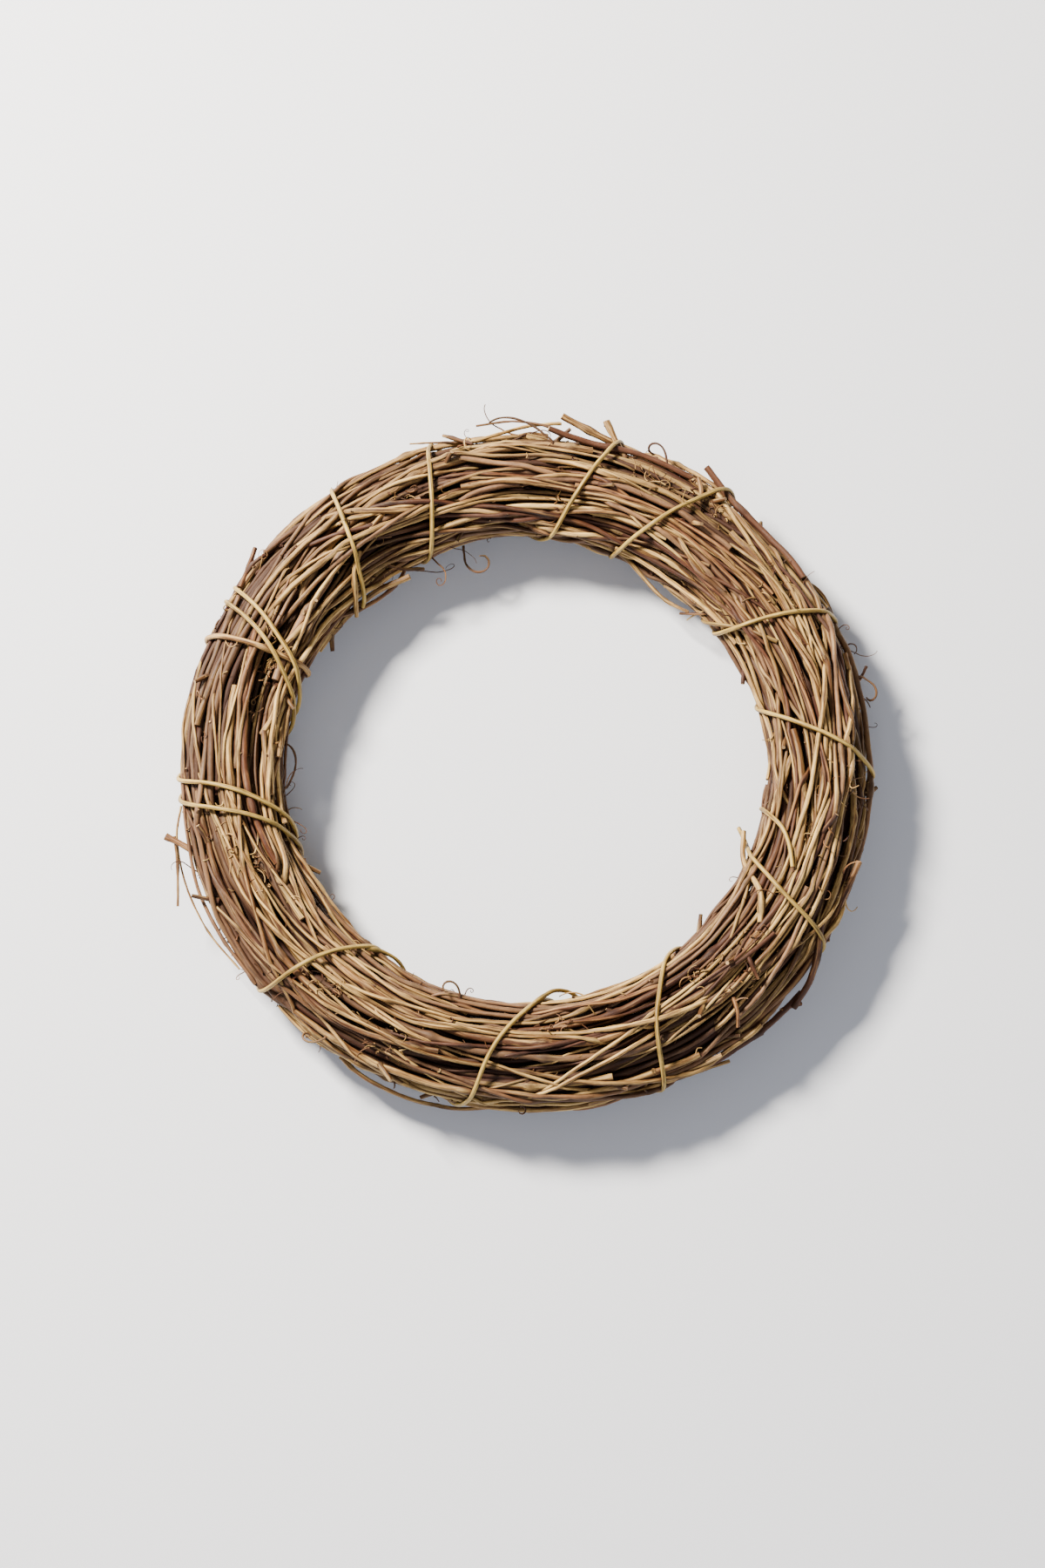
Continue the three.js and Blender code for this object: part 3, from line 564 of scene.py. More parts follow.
class TwigSweep:
    """Geometry Nodes that turn lines into round twigs with ridges, lumps and grain coordinates.

    Attributes:
        sizes: The usual values of the tree's inputs.
        kinds: The kind of each input.
        grain_apart: How far apart on the bark's pattern two twigs may start, in millimetres.
        ridge_scale: Waves of the ridges in a millimetre, across a twig twice and along it.
        lump_scale: The same of the lumps.
        side_corners: A face with more corners than this closes an end.
    """

    sizes = {"Step": 1.2 * MM, "Sides": 12, "Ridge": 0.2 * MM, "Lump": 0.45 * MM}
    kinds = {
        "Lines": "Geometry", "Sides": "Int", "Step": "Float", "Ridge": "Float", "Lump": "Float",
        "Bark": "Material",
    }
    grain_apart = 371.0
    ridge_scale = (0.9, 0.9, 0.05)
    lump_scale = (0.30, 0.30, 0.22)
    side_corners = 4.5

    def __init__(self, ring: Ring) -> None:
        """Writes the tree.

        Args:
            ring: Places on the wreath.
        """
        self.ring = ring
        self.tree = bpy.data.node_groups.new("twig_sweep", "GeometryNodeTree")
        new_socket = self.tree.interface.new_socket
        self.inputs = {
            name: new_socket(name, in_out="INPUT", socket_type="NodeSocket" + kind).identifier
            for name, kind in self.kinds.items()
        }
        new_socket("Twigs", in_out="OUTPUT", socket_type="NodeSocketGeometry")
        self.graph = Graph(self.tree)
        self.write()

    def named(self, name: str, kind: str = "FLOAT") -> Output:
        """Reads a named attribute."""
        node = self.graph.add("GeometryNodeInputNamedAttribute", {"data_type": kind}, Name=name)
        return self.graph.out(node)

    def stored(
        self, geometry: Any, name: str, value: Any, kind: str = "FLOAT", domain: str = "POINT"
    ) -> Output:
        """Stores a named attribute.

        Args:
            geometry: What it is stored on.
            name: The attribute's name.
            value: Its value.
            kind: Its data type.
            domain: Whether it belongs to points or faces.

        Returns:
            The geometry with it.
        """
        settings = {"data_type": kind, "domain": domain}
        sockets = {"Geometry": geometry, "Name": name, "Value": value}
        return self.graph.out(self.graph.add("GeometryNodeStoreNamedAttribute", settings, **sockets))

    def write(self) -> None:
        """Adds the nodes."""
        graph, named, stored = self.graph, self.named, self.stored
        given = self.tree.nodes.new("NodeGroupInput").outputs
        curve = graph.out(graph.add("GeometryNodeMeshToCurve", Mesh=given["Lines"]))
        by_length = {"mode": "LENGTH"}
        resample = graph.add("GeometryNodeResampleCurve", by_length, Curve=curve, Length=given["Step"])
        length = graph.out(graph.add("GeometryNodeSplineParameter"), "Length")
        curve = stored(graph.out(resample), "along", length)
        circle = graph.add("GeometryNodeCurvePrimitiveCircle", Resolution=given["Sides"], Radius=1.0)
        factor = graph.out(graph.add("GeometryNodeSplineParameter"), "Factor")
        profile = stored(graph.out(circle), "around", factor * math.tau)
        swept = graph.add("GeometryNodeCurveToMesh", Curve=curve, Profile_Curve=profile, Scale=named("thick"))
        swept.inputs["Fill Caps"].default_value = True

        around, thick = named("around"), named("thick") * (1 / MM)
        sockets = {
            "X": thick * around.math("COSINE", around),
            "Y": thick * around.math("SINE", around),
            "Z": named("along") * (1 / MM) + named("seed") * self.grain_apart,
        }
        grain = graph.out(graph.add("ShaderNodeCombineXYZ", **sockets))
        mesh = stored(graph.out(swept), "grain", grain, "FLOAT_VECTOR")
        grain = named("grain", "FLOAT_VECTOR")
        ridges = graph.noise(graph.stretched(grain, self.ridge_scale), detail=1.0)
        lumps = graph.noise(graph.stretched(grain, self.lump_scale), detail=2.0)
        height = (ridges - 0.5) * given["Ridge"] + (lumps - 0.5) * given["Lump"] * (named("knot") * 2.0 + 1.0)
        offset = graph.scaled(graph.out(graph.add("GeometryNodeInputNormal")), height)
        mesh = graph.out(graph.add("GeometryNodeSetPosition", Geometry=mesh, Offset=offset))
        corners = graph.out(graph.add("GeometryNodeInputMeshFaceNeighbors"), "Vertex Count")
        is_end = corners > self.side_corners
        mesh = stored(mesh, "cut", is_end, domain="FACE")
        mesh = graph.out(graph.add("GeometryNodeSetShadeSmooth", Geometry=mesh, Shade_Smooth=1.0 - is_end))
        mesh = graph.out(graph.add("GeometryNodeRealizeInstances", Geometry=mesh))
        mesh = graph.out(graph.add("GeometryNodeSetMaterial", Geometry=mesh, Material=given["Bark"]))
        self.tree.links.new(mesh.socket, self.tree.nodes.new("NodeGroupOutput").inputs[0])

    def make(
        self, name: str, strands: Sequence[Strand], material: bpy.types.Material, seed: int, **sizes: Any
    ) -> bpy.types.Object:
        """Sweeps twigs as one plain mesh.

        Args:
            name: The new piece's name.
            strands: The twigs.
            material: Their bark.
            seed: What makes their grain their own.
            sizes: Values for the tree's inputs that differ from the usual ones.

        Returns:
            The piece.
        """
        lines = bpy.data.meshes.new(name + "_lines")
        edges, start = [], 0
        for strand in strands:
            edges += [(start + i, start + i + 1) for i in range(len(strand.points) - 1)]
            start += len(strand.points)
        lines.from_pydata([p for strand in strands for p in strand.points], edges, [])
        draw = random.Random(seed)
        keys = ("thick", "tint", "tone", "knot", "seed", "deep")
        values: dict[str, list[float]] = {key: [] for key in keys}
        for strand in strands:
            count = len(strand.points)
            values["thick"] += strand.radii
            values["tint"] += [strand.tint] * count
            values["tone"] += [strand.tone] * count
            values["knot"] += strand.knots or [0.0] * count
            values["seed"] += [draw.uniform(0, 10)] * count
            # deep: painted shade, darker for bark that lies deeper in the bundle.
            values["deep"] += [self.ring.depth(point) for point in strand.points]
        for key, numbers in values.items():
            lines.attributes.new(key, "FLOAT", "POINT").data.foreach_set("value", numbers)
        source = bpy.data.objects.new(name + "_lines", lines)
        bpy.context.scene.collection.objects.link(source)
        modifier = source.modifiers.new("sweep", "NODES")
        modifier.node_group = self.tree
        for key, value in {**self.sizes, **sizes, "Bark": material}.items():
            modifier[self.inputs[key]] = value
        mesh = bpy.data.meshes.new_from_object(source.evaluated_get(bpy.context.evaluated_depsgraph_get()))
        mesh.name = name
        bpy.data.objects.remove(source)
        bpy.data.meshes.remove(lines)
        piece = bpy.data.objects.new(name, mesh)
        bpy.context.scene.collection.objects.link(piece)
        return piece


@dataclass(frozen=True)
class Habit:
    """How one kind of vine has grown and dried.

    Attributes:
        sides: Of its swept section.
        step: Between two of its swept sections.
        fullness: Its radius as a share of the solid's, which has its corners on the bark.
        variety: How much that share differs from vine to vine.
        sway: How far it waves off its line.
        tint: How much lighter or darker than its bark it is.
        swell: How much thicker a leaf node is.
        bend: How far a node stands off the line.
        bud_chance: The share of the nodes that keep a bud.
        internode: The shortest and longest distance between two nodes.
        ridge: Height of its lengthwise ridges.
        lump: Height of its lumps.
    """

    sides: int = 14
    step: float = 1.1 * MM
    fullness: float = 0.80
    variety: float = 0.0
    sway: float = 0.42 * MM
    tint: float = 0.0
    swell: float = 0.34
    bend: float = 0.35 * MM
    bud_chance: float = 0.6
    internode: Span = (38 * MM, 70 * MM)
    ridge: float = 0.20 * MM
    lump: float = 0.40 * MM


HABITS = {
    # The inner vines' low tints are partly older, darker bark and partly painted shade for the gaps between
    # the outer vines.
    "core_vine": Habit(sides=8, step=2.4 * MM, fullness=0.9, tint=-0.66),
    "inner_vine": Habit(sides=8, step=2.4 * MM, fullness=0.9, tint=-0.58),
    "middle_vine": Habit(sides=10, step=1.6 * MM, fullness=0.84, tint=-0.34),
    "outer_vine": Habit(fullness=0.66, variety=0.12, swell=0.5),
    "riding_twig": Habit(fullness=0.72, variety=0.12, swell=0.5),
    "stray_twig": Habit(bend=0.5 * MM),
    "binding_twig": Habit(sides=12, fullness=0.78, sway=0.08 * MM, swell=0.2, bend=0.1 * MM, bud_chance=0.0),
    "binding_vine": Habit(
        sides=12, step=1.0 * MM, fullness=0.63, sway=0.08 * MM, swell=0.12, bend=0.06 * MM, bud_chance=0.0,
        internode=(60 * MM, 110 * MM), ridge=0.05 * MM, lump=0.10 * MM,
    ),
}


@dataclass
class Grower:
    """Grows plain lines into vines with waves, leaf nodes and buds.

    Attributes:
        draw: The random draws.
        node_length: How far along the vine a leaf node swells it.
        line_step: Between two points of a grown line.
        waves: The length of each wave of a vine and its share of the sway.
    """

    draw: random.Random
    node_length: float = 2.4 * MM
    line_step: float = 1.6 * MM
    waves: tuple[Span, ...] = ((52 * MM, 0.6), (23 * MM, 0.3), (11 * MM, 0.1))

    def grow(
        self, points: list[Vector], radii: list[float], habit: Habit, tint: float, tone: float
    ) -> list[Strand]:
        """Grows one vine.

        Args:
            points: Its plain line.
            radii: Its plain radii.
            habit: How it grows.
            tint: How much lighter or darker than its bark it is.
            tone: How fresh it is.

        Returns:
            The vine and its buds.
        """
        line, sizes = eased(points, radii, self.line_step)
        run = [0.0]
        for a, b in zip(line, line[1:]):
            run.append(run[-1] + (b - a).length)
        nodes = [0.0, self.draw.uniform(0.15, 0.9) * habit.internode[0]]
        while nodes[-1] < run[-1]:
            nodes.append(nodes[-1] + self.draw.uniform(*habit.internode))
        fullness = habit.fullness * self.draw.uniform(1 - habit.variety, 1 + habit.variety)
        asides = [self.any_way() * habit.bend for _ in nodes]
        swells = [habit.swell * self.draw.uniform(0.55, 1.3) for _ in nodes]
        phases = [[self.draw.uniform(0, math.tau) for _ in range(3)] for _ in self.waves]
        grown, thick, knots, buds = [], [], [], []
        stretch = 1
        for point, size, at in zip(line, sizes, run):
            while at > nodes[stretch]:
                stretch += 1
            share = (at - nodes[stretch - 1]) / (nodes[stretch] - nodes[stretch - 1])
            sway = Vector()
            for (wave_length, amount), phase in zip(self.waves, phases):
                turn = math.tau * at / wave_length
                sway += amount * habit.sway * Vector([math.sin(turn + p) for p in phase])
            grown.append(point + asides[stretch - 1].lerp(asides[stretch], share) + sway)
            nearest = stretch if share > 0.5 else stretch - 1
            knot = math.exp(-(((at - nodes[nearest]) / self.node_length) ** 2)) if nearest else 0.0
            thick.append(size * fullness * (1 + swells[nearest] * knot))
            knots.append(knot)
        for node in nodes[1:-1]:
            i = min(range(len(run)), key=lambda k: abs(run[k] - node))
            if self.draw.random() < habit.bud_chance and 1 < i < len(run) - 2:
                buds.append(self.bud(grown[i], grown[i + 1] - grown[i - 1], thick[i], tint))
        return [Strand(grown, thick, tint, tone, knots), *buds]

    def any_way(self) -> Vector:
        """A step of up to one unit in any direction."""
        return Vector([self.draw.uniform(-1, 1) for _ in range(3)])

    def bud(self, base: Vector, along: Vector, radius: float, tint: float) -> Strand:
        """A dry bud or leaf scar that leans along its vine.

        Args:
            base: Where it grows, in the middle of its vine.
            along: The way its vine runs.
            radius: Of its vine.
            tint: Of its vine.

        Returns:
            The bud.
        """
        along = along.normalized()
        side = along.cross(self.any_way()).normalized()
        way = (side + along * self.draw.uniform(0.5, 1.3)).normalized()
        reach = radius * 1.1 + self.draw.uniform(0.3, 1.2) * MM
        points = [base, base + way * reach * 0.6, base + way * reach]
        radii = [0.60 * radius, 0.50 * radius, 0.20 * radius]
        return Strand(points, radii, tint - 0.25, -0.5, [1.0, 0.9, 0.6])

    def shoot(self, line: list[Vector], tint: float) -> Strand:
        """A spur or tendril from its line in the solid.

        Args:
            line: Its middle line, from inside the vine to its tip. A tendril's has more than three points.
            tint: Of its vine.

        Returns:
            The spur or tendril.
        """
        if len(line) > 3:
            radii = [0.55 * MM] + [0.40 * MM] * (len(line) - 2) + [0.22 * MM]
            points, radii = eased(line, radii, 0.7 * MM)
            return Strand(points, radii, tint - 0.3, -0.6)
        way = (line[-1] - line[0]).normalized()
        root = line[0] - way * 2.0 * MM
        points, radii = eased([root, line[0], line[-1]], [1.2 * MM, 0.95 * MM, 0.66 * MM], 0.8 * MM)
        knots = [abs(2 * i / (len(points) - 1) - 1) * 0.6 for i in range(len(points))]
        radii = [r * (1 + 0.25 * k**3) for r, k in zip(radii, knots)]
        return Strand(points, radii, tint - 0.15, -0.3, knots)


@dataclass
class Crowd:
    """All that lies in the bundle, as balls along each strand, for what is laid on it later.

    Attributes:
        ring: Places on the wreath.
        bins: How many slices of the ring the balls are sorted into.
        balls: Place and radius of each.
        drawn_in: The share of the rounds in which new strands are drawn inwards.
        lift: How much a strand that is in the way of others moves outwards and not only off them.
        give: The share of an overlap that is put right in one round.
    """

    ring: Ring
    bins: int = 144
    balls: list[tuple[float, float, float, float]] = field(default_factory=list)
    drawn_in = 0.7
    lift = 0.8
    give = 0.6

    def take(self, strand: Strand) -> None:
        """Adds a strand."""
        self.balls += [(*point, radius) for point, radius in zip(strand.points, strand.radii)]

    def bin_of(self, places: np.ndarray) -> np.ndarray:
        """The slice that each place lies in."""
        clock = np.arctan2(places[:, 0] - self.ring.hub.x, places[:, 1] - self.ring.hub.y) / math.tau
        return (clock % 1 * self.bins).astype(int) % self.bins

    def settle(
        self, chains: list[np.ndarray], radii: list[np.ndarray], rounds: int, pull: float, stiffness: int
    ) -> list[np.ndarray]:
        """Lets new strands sink onto and between what is already there.

        Args:
            chains: The points of each new strand.
            radii: Its radius at each of them.
            rounds: How many times they are moved.
            pull: How far they are drawn towards the middle of the bundle each time.
            stiffness: How many times their kinks are halved each time.

        Returns:
            The points of each strand in their new places.
        """
        fixed = np.array(self.balls)
        fixed_bin = self.bin_of(fixed)
        sorted_balls = [fixed[fixed_bin == b] for b in range(self.bins)]
        near = [
            np.concatenate([sorted_balls[(b + i) % self.bins] for i in (-1, 0, 1)]) for b in range(self.bins)
        ]
        places, sizes = np.concatenate(chains), np.concatenate(radii)
        owner = np.repeat(np.arange(len(chains)), [len(chain) for chain in chains])
        inside = (owner[2:] == owner[1:-1]) & (owner[:-2] == owner[1:-1])
        hub, height = np.array(self.ring.hub), self.ring.height
        for turn in range(rounds):
            level = (places - hub) * (1, 1, 0)
            middle = hub + level / np.linalg.norm(level, axis=1)[:, None] * self.ring.radius + (0, 0, height)
            inward = middle - places
            far = np.linalg.norm(inward, axis=1)[:, None]
            if turn < self.drawn_in * rounds:
                places += pull * inward / far
            for _ in range(stiffness):
                places[1:-1] += ((places[2:] + places[:-2]) / 2 - places[1:-1]) / 2 * inside[:, None]
            own_bin = self.bin_of(places)
            for b in np.unique(own_bin):
                mine = np.flatnonzero(own_bin == b)
                beside = np.flatnonzero((own_bin - b + 1) % self.bins < 3)
                others = np.concatenate([near[b][:, :3], places[beside]])
                widths = np.concatenate([near[b][:, 3], sizes[beside]])
                owners = np.concatenate([np.full(len(near[b]), -1), owner[beside]])
                away = places[mine][:, None] - others[None]
                apart = np.linalg.norm(away, axis=2) + 1e-9
                deep = sizes[mine][:, None] + widths[None] - apart
                deep[owner[mine][:, None] == owners[None]] = -1
                worst = deep.argmax(axis=1)
                rows = np.arange(len(mine))
                way = away[rows, worst] / apart[rows, worst][:, None] - self.lift * inward[mine] / far[mine]
                push = self.give * np.maximum(deep[rows, worst], 0) / np.linalg.norm(way, axis=1)
                places[mine] += push[:, None] * way
            places[:, 2] = np.maximum(places[:, 2], sizes)
        return np.split(places, np.cumsum([len(chain) for chain in chains])[:-1])


class Crevices:
    """Finds where the bark is close to another twig, which is where shade is painted on it.

    Attributes:
        same_strand: Two balls in a row that are closer than this are of one strand.
    """

    same_strand = 3 * MM

    def __init__(self, crowd: Crowd, reach: float = 1.0 * MM, margin: float = 1.05 * MM) -> None:
        """Sorts all the balls of the bundle, with one more between each two of a strand.

        Args:
            crowd: What lies in the bundle.
            reach: How far off the bark another twig is looked for.
            margin: How near to that place it has to be.
        """
        self.reach, self.margin = reach, margin
        balls = np.array(crowd.balls)
        between = (balls[1:] + balls[:-1]) / 2
        close = np.linalg.norm(balls[1:, :3] - balls[:-1, :3], axis=1) < self.same_strand
        balls = np.concatenate([balls, between[close]])
        self.sizes = balls[:, 3].tolist()
        self.tree = KDTree(len(balls))
        for n, place in enumerate(balls[:, :3].tolist()):
            self.tree.insert(place, n)
        self.tree.balance()

    def mark(self, piece: bpy.types.Object) -> None:
        """Stores how much of a crevice each corner is in, from 0 to 1, for the painted shade there.

        Args:
            piece: The piece whose corners are marked.
        """
        values = []
        for vert in piece.data.vertices:
            _, n, apart = self.tree.find(vert.co + vert.normal * self.reach)
            values.append(min(max((self.sizes[n] + self.margin - apart) / self.margin, 0.0), 1.0))
        piece.data.attributes.new("crevice", "FLOAT", "POINT").data.foreach_set("value", values)


@dataclass
class Filling:
    """Old twigs just below the outer vines, which close the bundle, painted darker as shade in the gaps
    between the vines.

    Attributes:
        ring: Places on the wreath.
        count: How many there are.
        seed: Of their random draws.
        lengths: The shortest and longest, in degrees of the ring.
        thick: The thinnest and thickest radius.
        reach: How far out they lie, from the middle of the bundle to its outline.
        slope: How far they usually wind round the bundle, in degrees for each degree of the ring.
        point_gap: Between two points of their lines, in degrees of the ring.
    """

    ring: Ring
    count: int = 46
    seed: int = 5
    lengths: Span = (90, 200)
    thick: Span = (0.9 * MM, 1.5 * MM)
    reach: Span = (0.74, 0.86)
    slope: float = 0.25
    point_gap: float = 2.0

    def lay(self) -> list[Strand]:
        """Lays them.

        Returns:
            The twigs.
        """
        draw = random.Random(self.seed)
        strands = []
        for n in range(self.count):
            length = draw.uniform(*self.lengths)
            start, section = draw.uniform(0, 360), 360 * (n * 0.618 % 1)
            slope, reach = draw.gauss(0, self.slope), draw.uniform(*self.reach)
            phase = draw.uniform(0, math.tau)
            points = []
            for turn in np.arange(0, length, self.point_gap):
                waved = section + slope * turn + 5 * math.sin(phase + turn / 14)
                points.append(self.ring.place(start + turn, waved, reach + 0.02 * math.sin(phase + turn / 9)))
            radii = [draw.uniform(*self.thick)] * len(points)
            # Their low tints are painted shade for the gaps below the outer vines.
            strands.append(Strand(points, radii, draw.uniform(-0.45, -0.1), draw.uniform(-1, 0.5)))
        return strands


@dataclass
class FineTwigs:
    """Thinner twigs that lie over and between the vines, each between an arc of the ring and a stick.

    Attributes:
        ring: Places on the wreath.
        crowd: What they lie on.
        count: How many there are.
        seed: Of their random draws.
        lengths: The shortest and longest, in degrees of the ring.
        thick: The thinnest and thickest radius.
        lean: How far they usually cross the bundle for their length.
        straight: The least and most of a straight stick that they are.
        tucked: The share of their ends that dive in between the vines.
        tuck: How deep those go.
        tuck_points: How many of the last points bend to it.
        barks: The bark of each in turn.
        edge: The share of the way out to the bundle's edge that the ones on top keep within.
    """

    ring: Ring
    crowd: Crowd
    count: int = 175
    seed: int = 11
    lengths: Span = (30, 135)
    thick: Span = (0.55 * MM, 1.10 * MM)
    lean: float = 0.05
    straight: Span = (0.0, 0.30)
    tucked: float = 0.8
    tuck: Span = (1.6 * MM, 3.2 * MM)
    tuck_points: int = 6
    barks: tuple[Bark, ...] = (Bark.TAN, Bark.BROWN, Bark.TAN, Bark.RUSSET, Bark.TAN, Bark.BROWN, Bark.TAN)
    edge: float = 0.985

    def lay(self) -> dict[tuple[str, Bark], list[Strand]]:
        """Lays them.

        Returns:
            The twigs, by where they lie and by their bark.
        """
        draw = random.Random(self.seed)
        chains, radii = [], []
        for n in range(self.count):
            route = self.side_route if n % 3 == 0 else self.top_route
            chains.append(route(draw, 360 * (n * 0.618 % 1), -1 if n % 7 == 1 else 1))
            thick = draw.uniform(*self.thick)
            radii.append(thick * (1 - 0.35 * np.linspace(0, 1, len(chains[-1]))))
        settled = self.crowd.settle(chains, radii, rounds=55, pull=0.12 * MM, stiffness=3)
        found: dict[tuple[str, Bark], list[Strand]] = {}
        habit = Habit(fullness=1.0, sway=0.10 * MM, bend=0.12 * MM, bud_chance=0.45, swell=0.3)
        grower = Grower(draw)
        for n, (chain, sizes) in enumerate(zip(settled, radii)):
            group = ("side" if n % 3 == 0 else "top", self.barks[n % len(self.barks)])
            points = self.tuck_ends(draw, [Vector(p) for p in chain])
            strands = grower.grow(points, list(sizes), habit, draw.uniform(-0.28, 0.12), draw.uniform(-1, 1))
            self.crowd.take(strands[0])
            found.setdefault(group, []).extend(strands)
        return found

    def top_route(self, draw: random.Random, clock: float, up: int) -> np.ndarray:
        """The line of a twig on the top of the bundle before it settles.

        Args:
            draw: The twig's random draws.
            clock: Where its middle is.
            up: 1 on the top, and -1 underneath.

        Returns:
            Its points, about a degree of the ring apart.
        """
        length = self.length(draw)
        middle = self.ring.radius + draw.uniform(-1, 0.8) * self.ring.half_width
        lean, straight = draw.gauss(0, self.lean), draw.uniform(*self.straight)
        reach = draw.uniform(0.95, 1.01)
        points = []
        for turn in np.radians(np.linspace(-length / 2, length / 2, max(10, round(length)))):
            out = middle * (1 + straight * (1 / math.cos(turn) - 1)) + lean * self.ring.radius * turn
            across = (out - self.ring.radius) / self.ring.half_width
            section = math.degrees(math.acos(min(max(across, -self.edge), self.edge)))
            points.append(self.ring.place(clock + math.degrees(turn), up * section, reach))
        return np.array(points)

    def side_route(self, draw: random.Random, clock: float, up: int) -> np.ndarray:
        """The line of a twig along the outer side of the bundle, or along the hole, before it settles.

        Args:
            draw: The twig's random draws.
            clock: Where its middle is.
            up: 1 or -1, the way it winds.

        Returns:
            Its points, about a degree of the ring apart.
        """
        length = self.length(draw)
        section = draw.choice((0, 180)) + draw.uniform(-55, 30)
        slope = up * draw.gauss(0, 0.35)
        reach = draw.uniform(0.92, 0.99)
        turns = np.linspace(-length / 2, length / 2, max(10, round(length)))
        return np.array([self.ring.place(clock + turn, section + slope * turn, reach) for turn in turns])

    def tuck_ends(self, draw: random.Random, points: list[Vector]) -> list[Vector]:
        """Bends most ends of a settled twig in between the vines.

        Args:
            draw: The twig's random draws.
            points: Its points, which are changed.

        Returns:
            The same points.
        """
        for _ in range(2):
            points.reverse()
            depth = draw.uniform(*self.tuck) if draw.random() < self.tucked else 0.0
            for i, point in enumerate(points[: self.tuck_points]):
                share = 1 - i / self.tuck_points
                inward = (self.ring.middle(point) - point).normalized()
                points[i] = point + inward * depth * share**2
        return points

    def length(self, draw: random.Random) -> float:
        """The length of a twig, in degrees of the ring. Short ones are commoner."""
        return self.lengths[0] + (self.lengths[1] - self.lengths[0]) * draw.random() ** 1.3


@dataclass(frozen=True)
class LooseTwig:
    """A twig that stands off the bundle.

    Attributes:
        bark: Its kind of bark.
        thick: Its radius at its root, in millimetres.
        route: Places that it runs through: the clock, the section angle and the distance off the bundle's
            outline in millimetres, which is below 0 where it is tucked in.
    """

    bark: Bark
    thick: float
    route: tuple[tuple[float, float, float], ...]

    def grow(self, ring: Ring, grower: Grower, habit: Habit) -> list[Strand]:
        """Grows it with its buds.

        Args:
            ring: Places on the wreath.
            grower: What grows it.
            habit: How it grows.

        Returns:
            The twig and its buds.
        """
        points = [ring.stand_off(clock, section, gap * MM) for clock, section, gap in self.route]
        radii = [self.thick * MM * (1 - 0.3 * i / len(points)) for i in range(len(points))]
        tint, tone = grower.draw.uniform(-0.2, 0.1), grower.draw.uniform(-0.6, 0.8)
        return grower.grow(points, radii, habit, tint, tone)


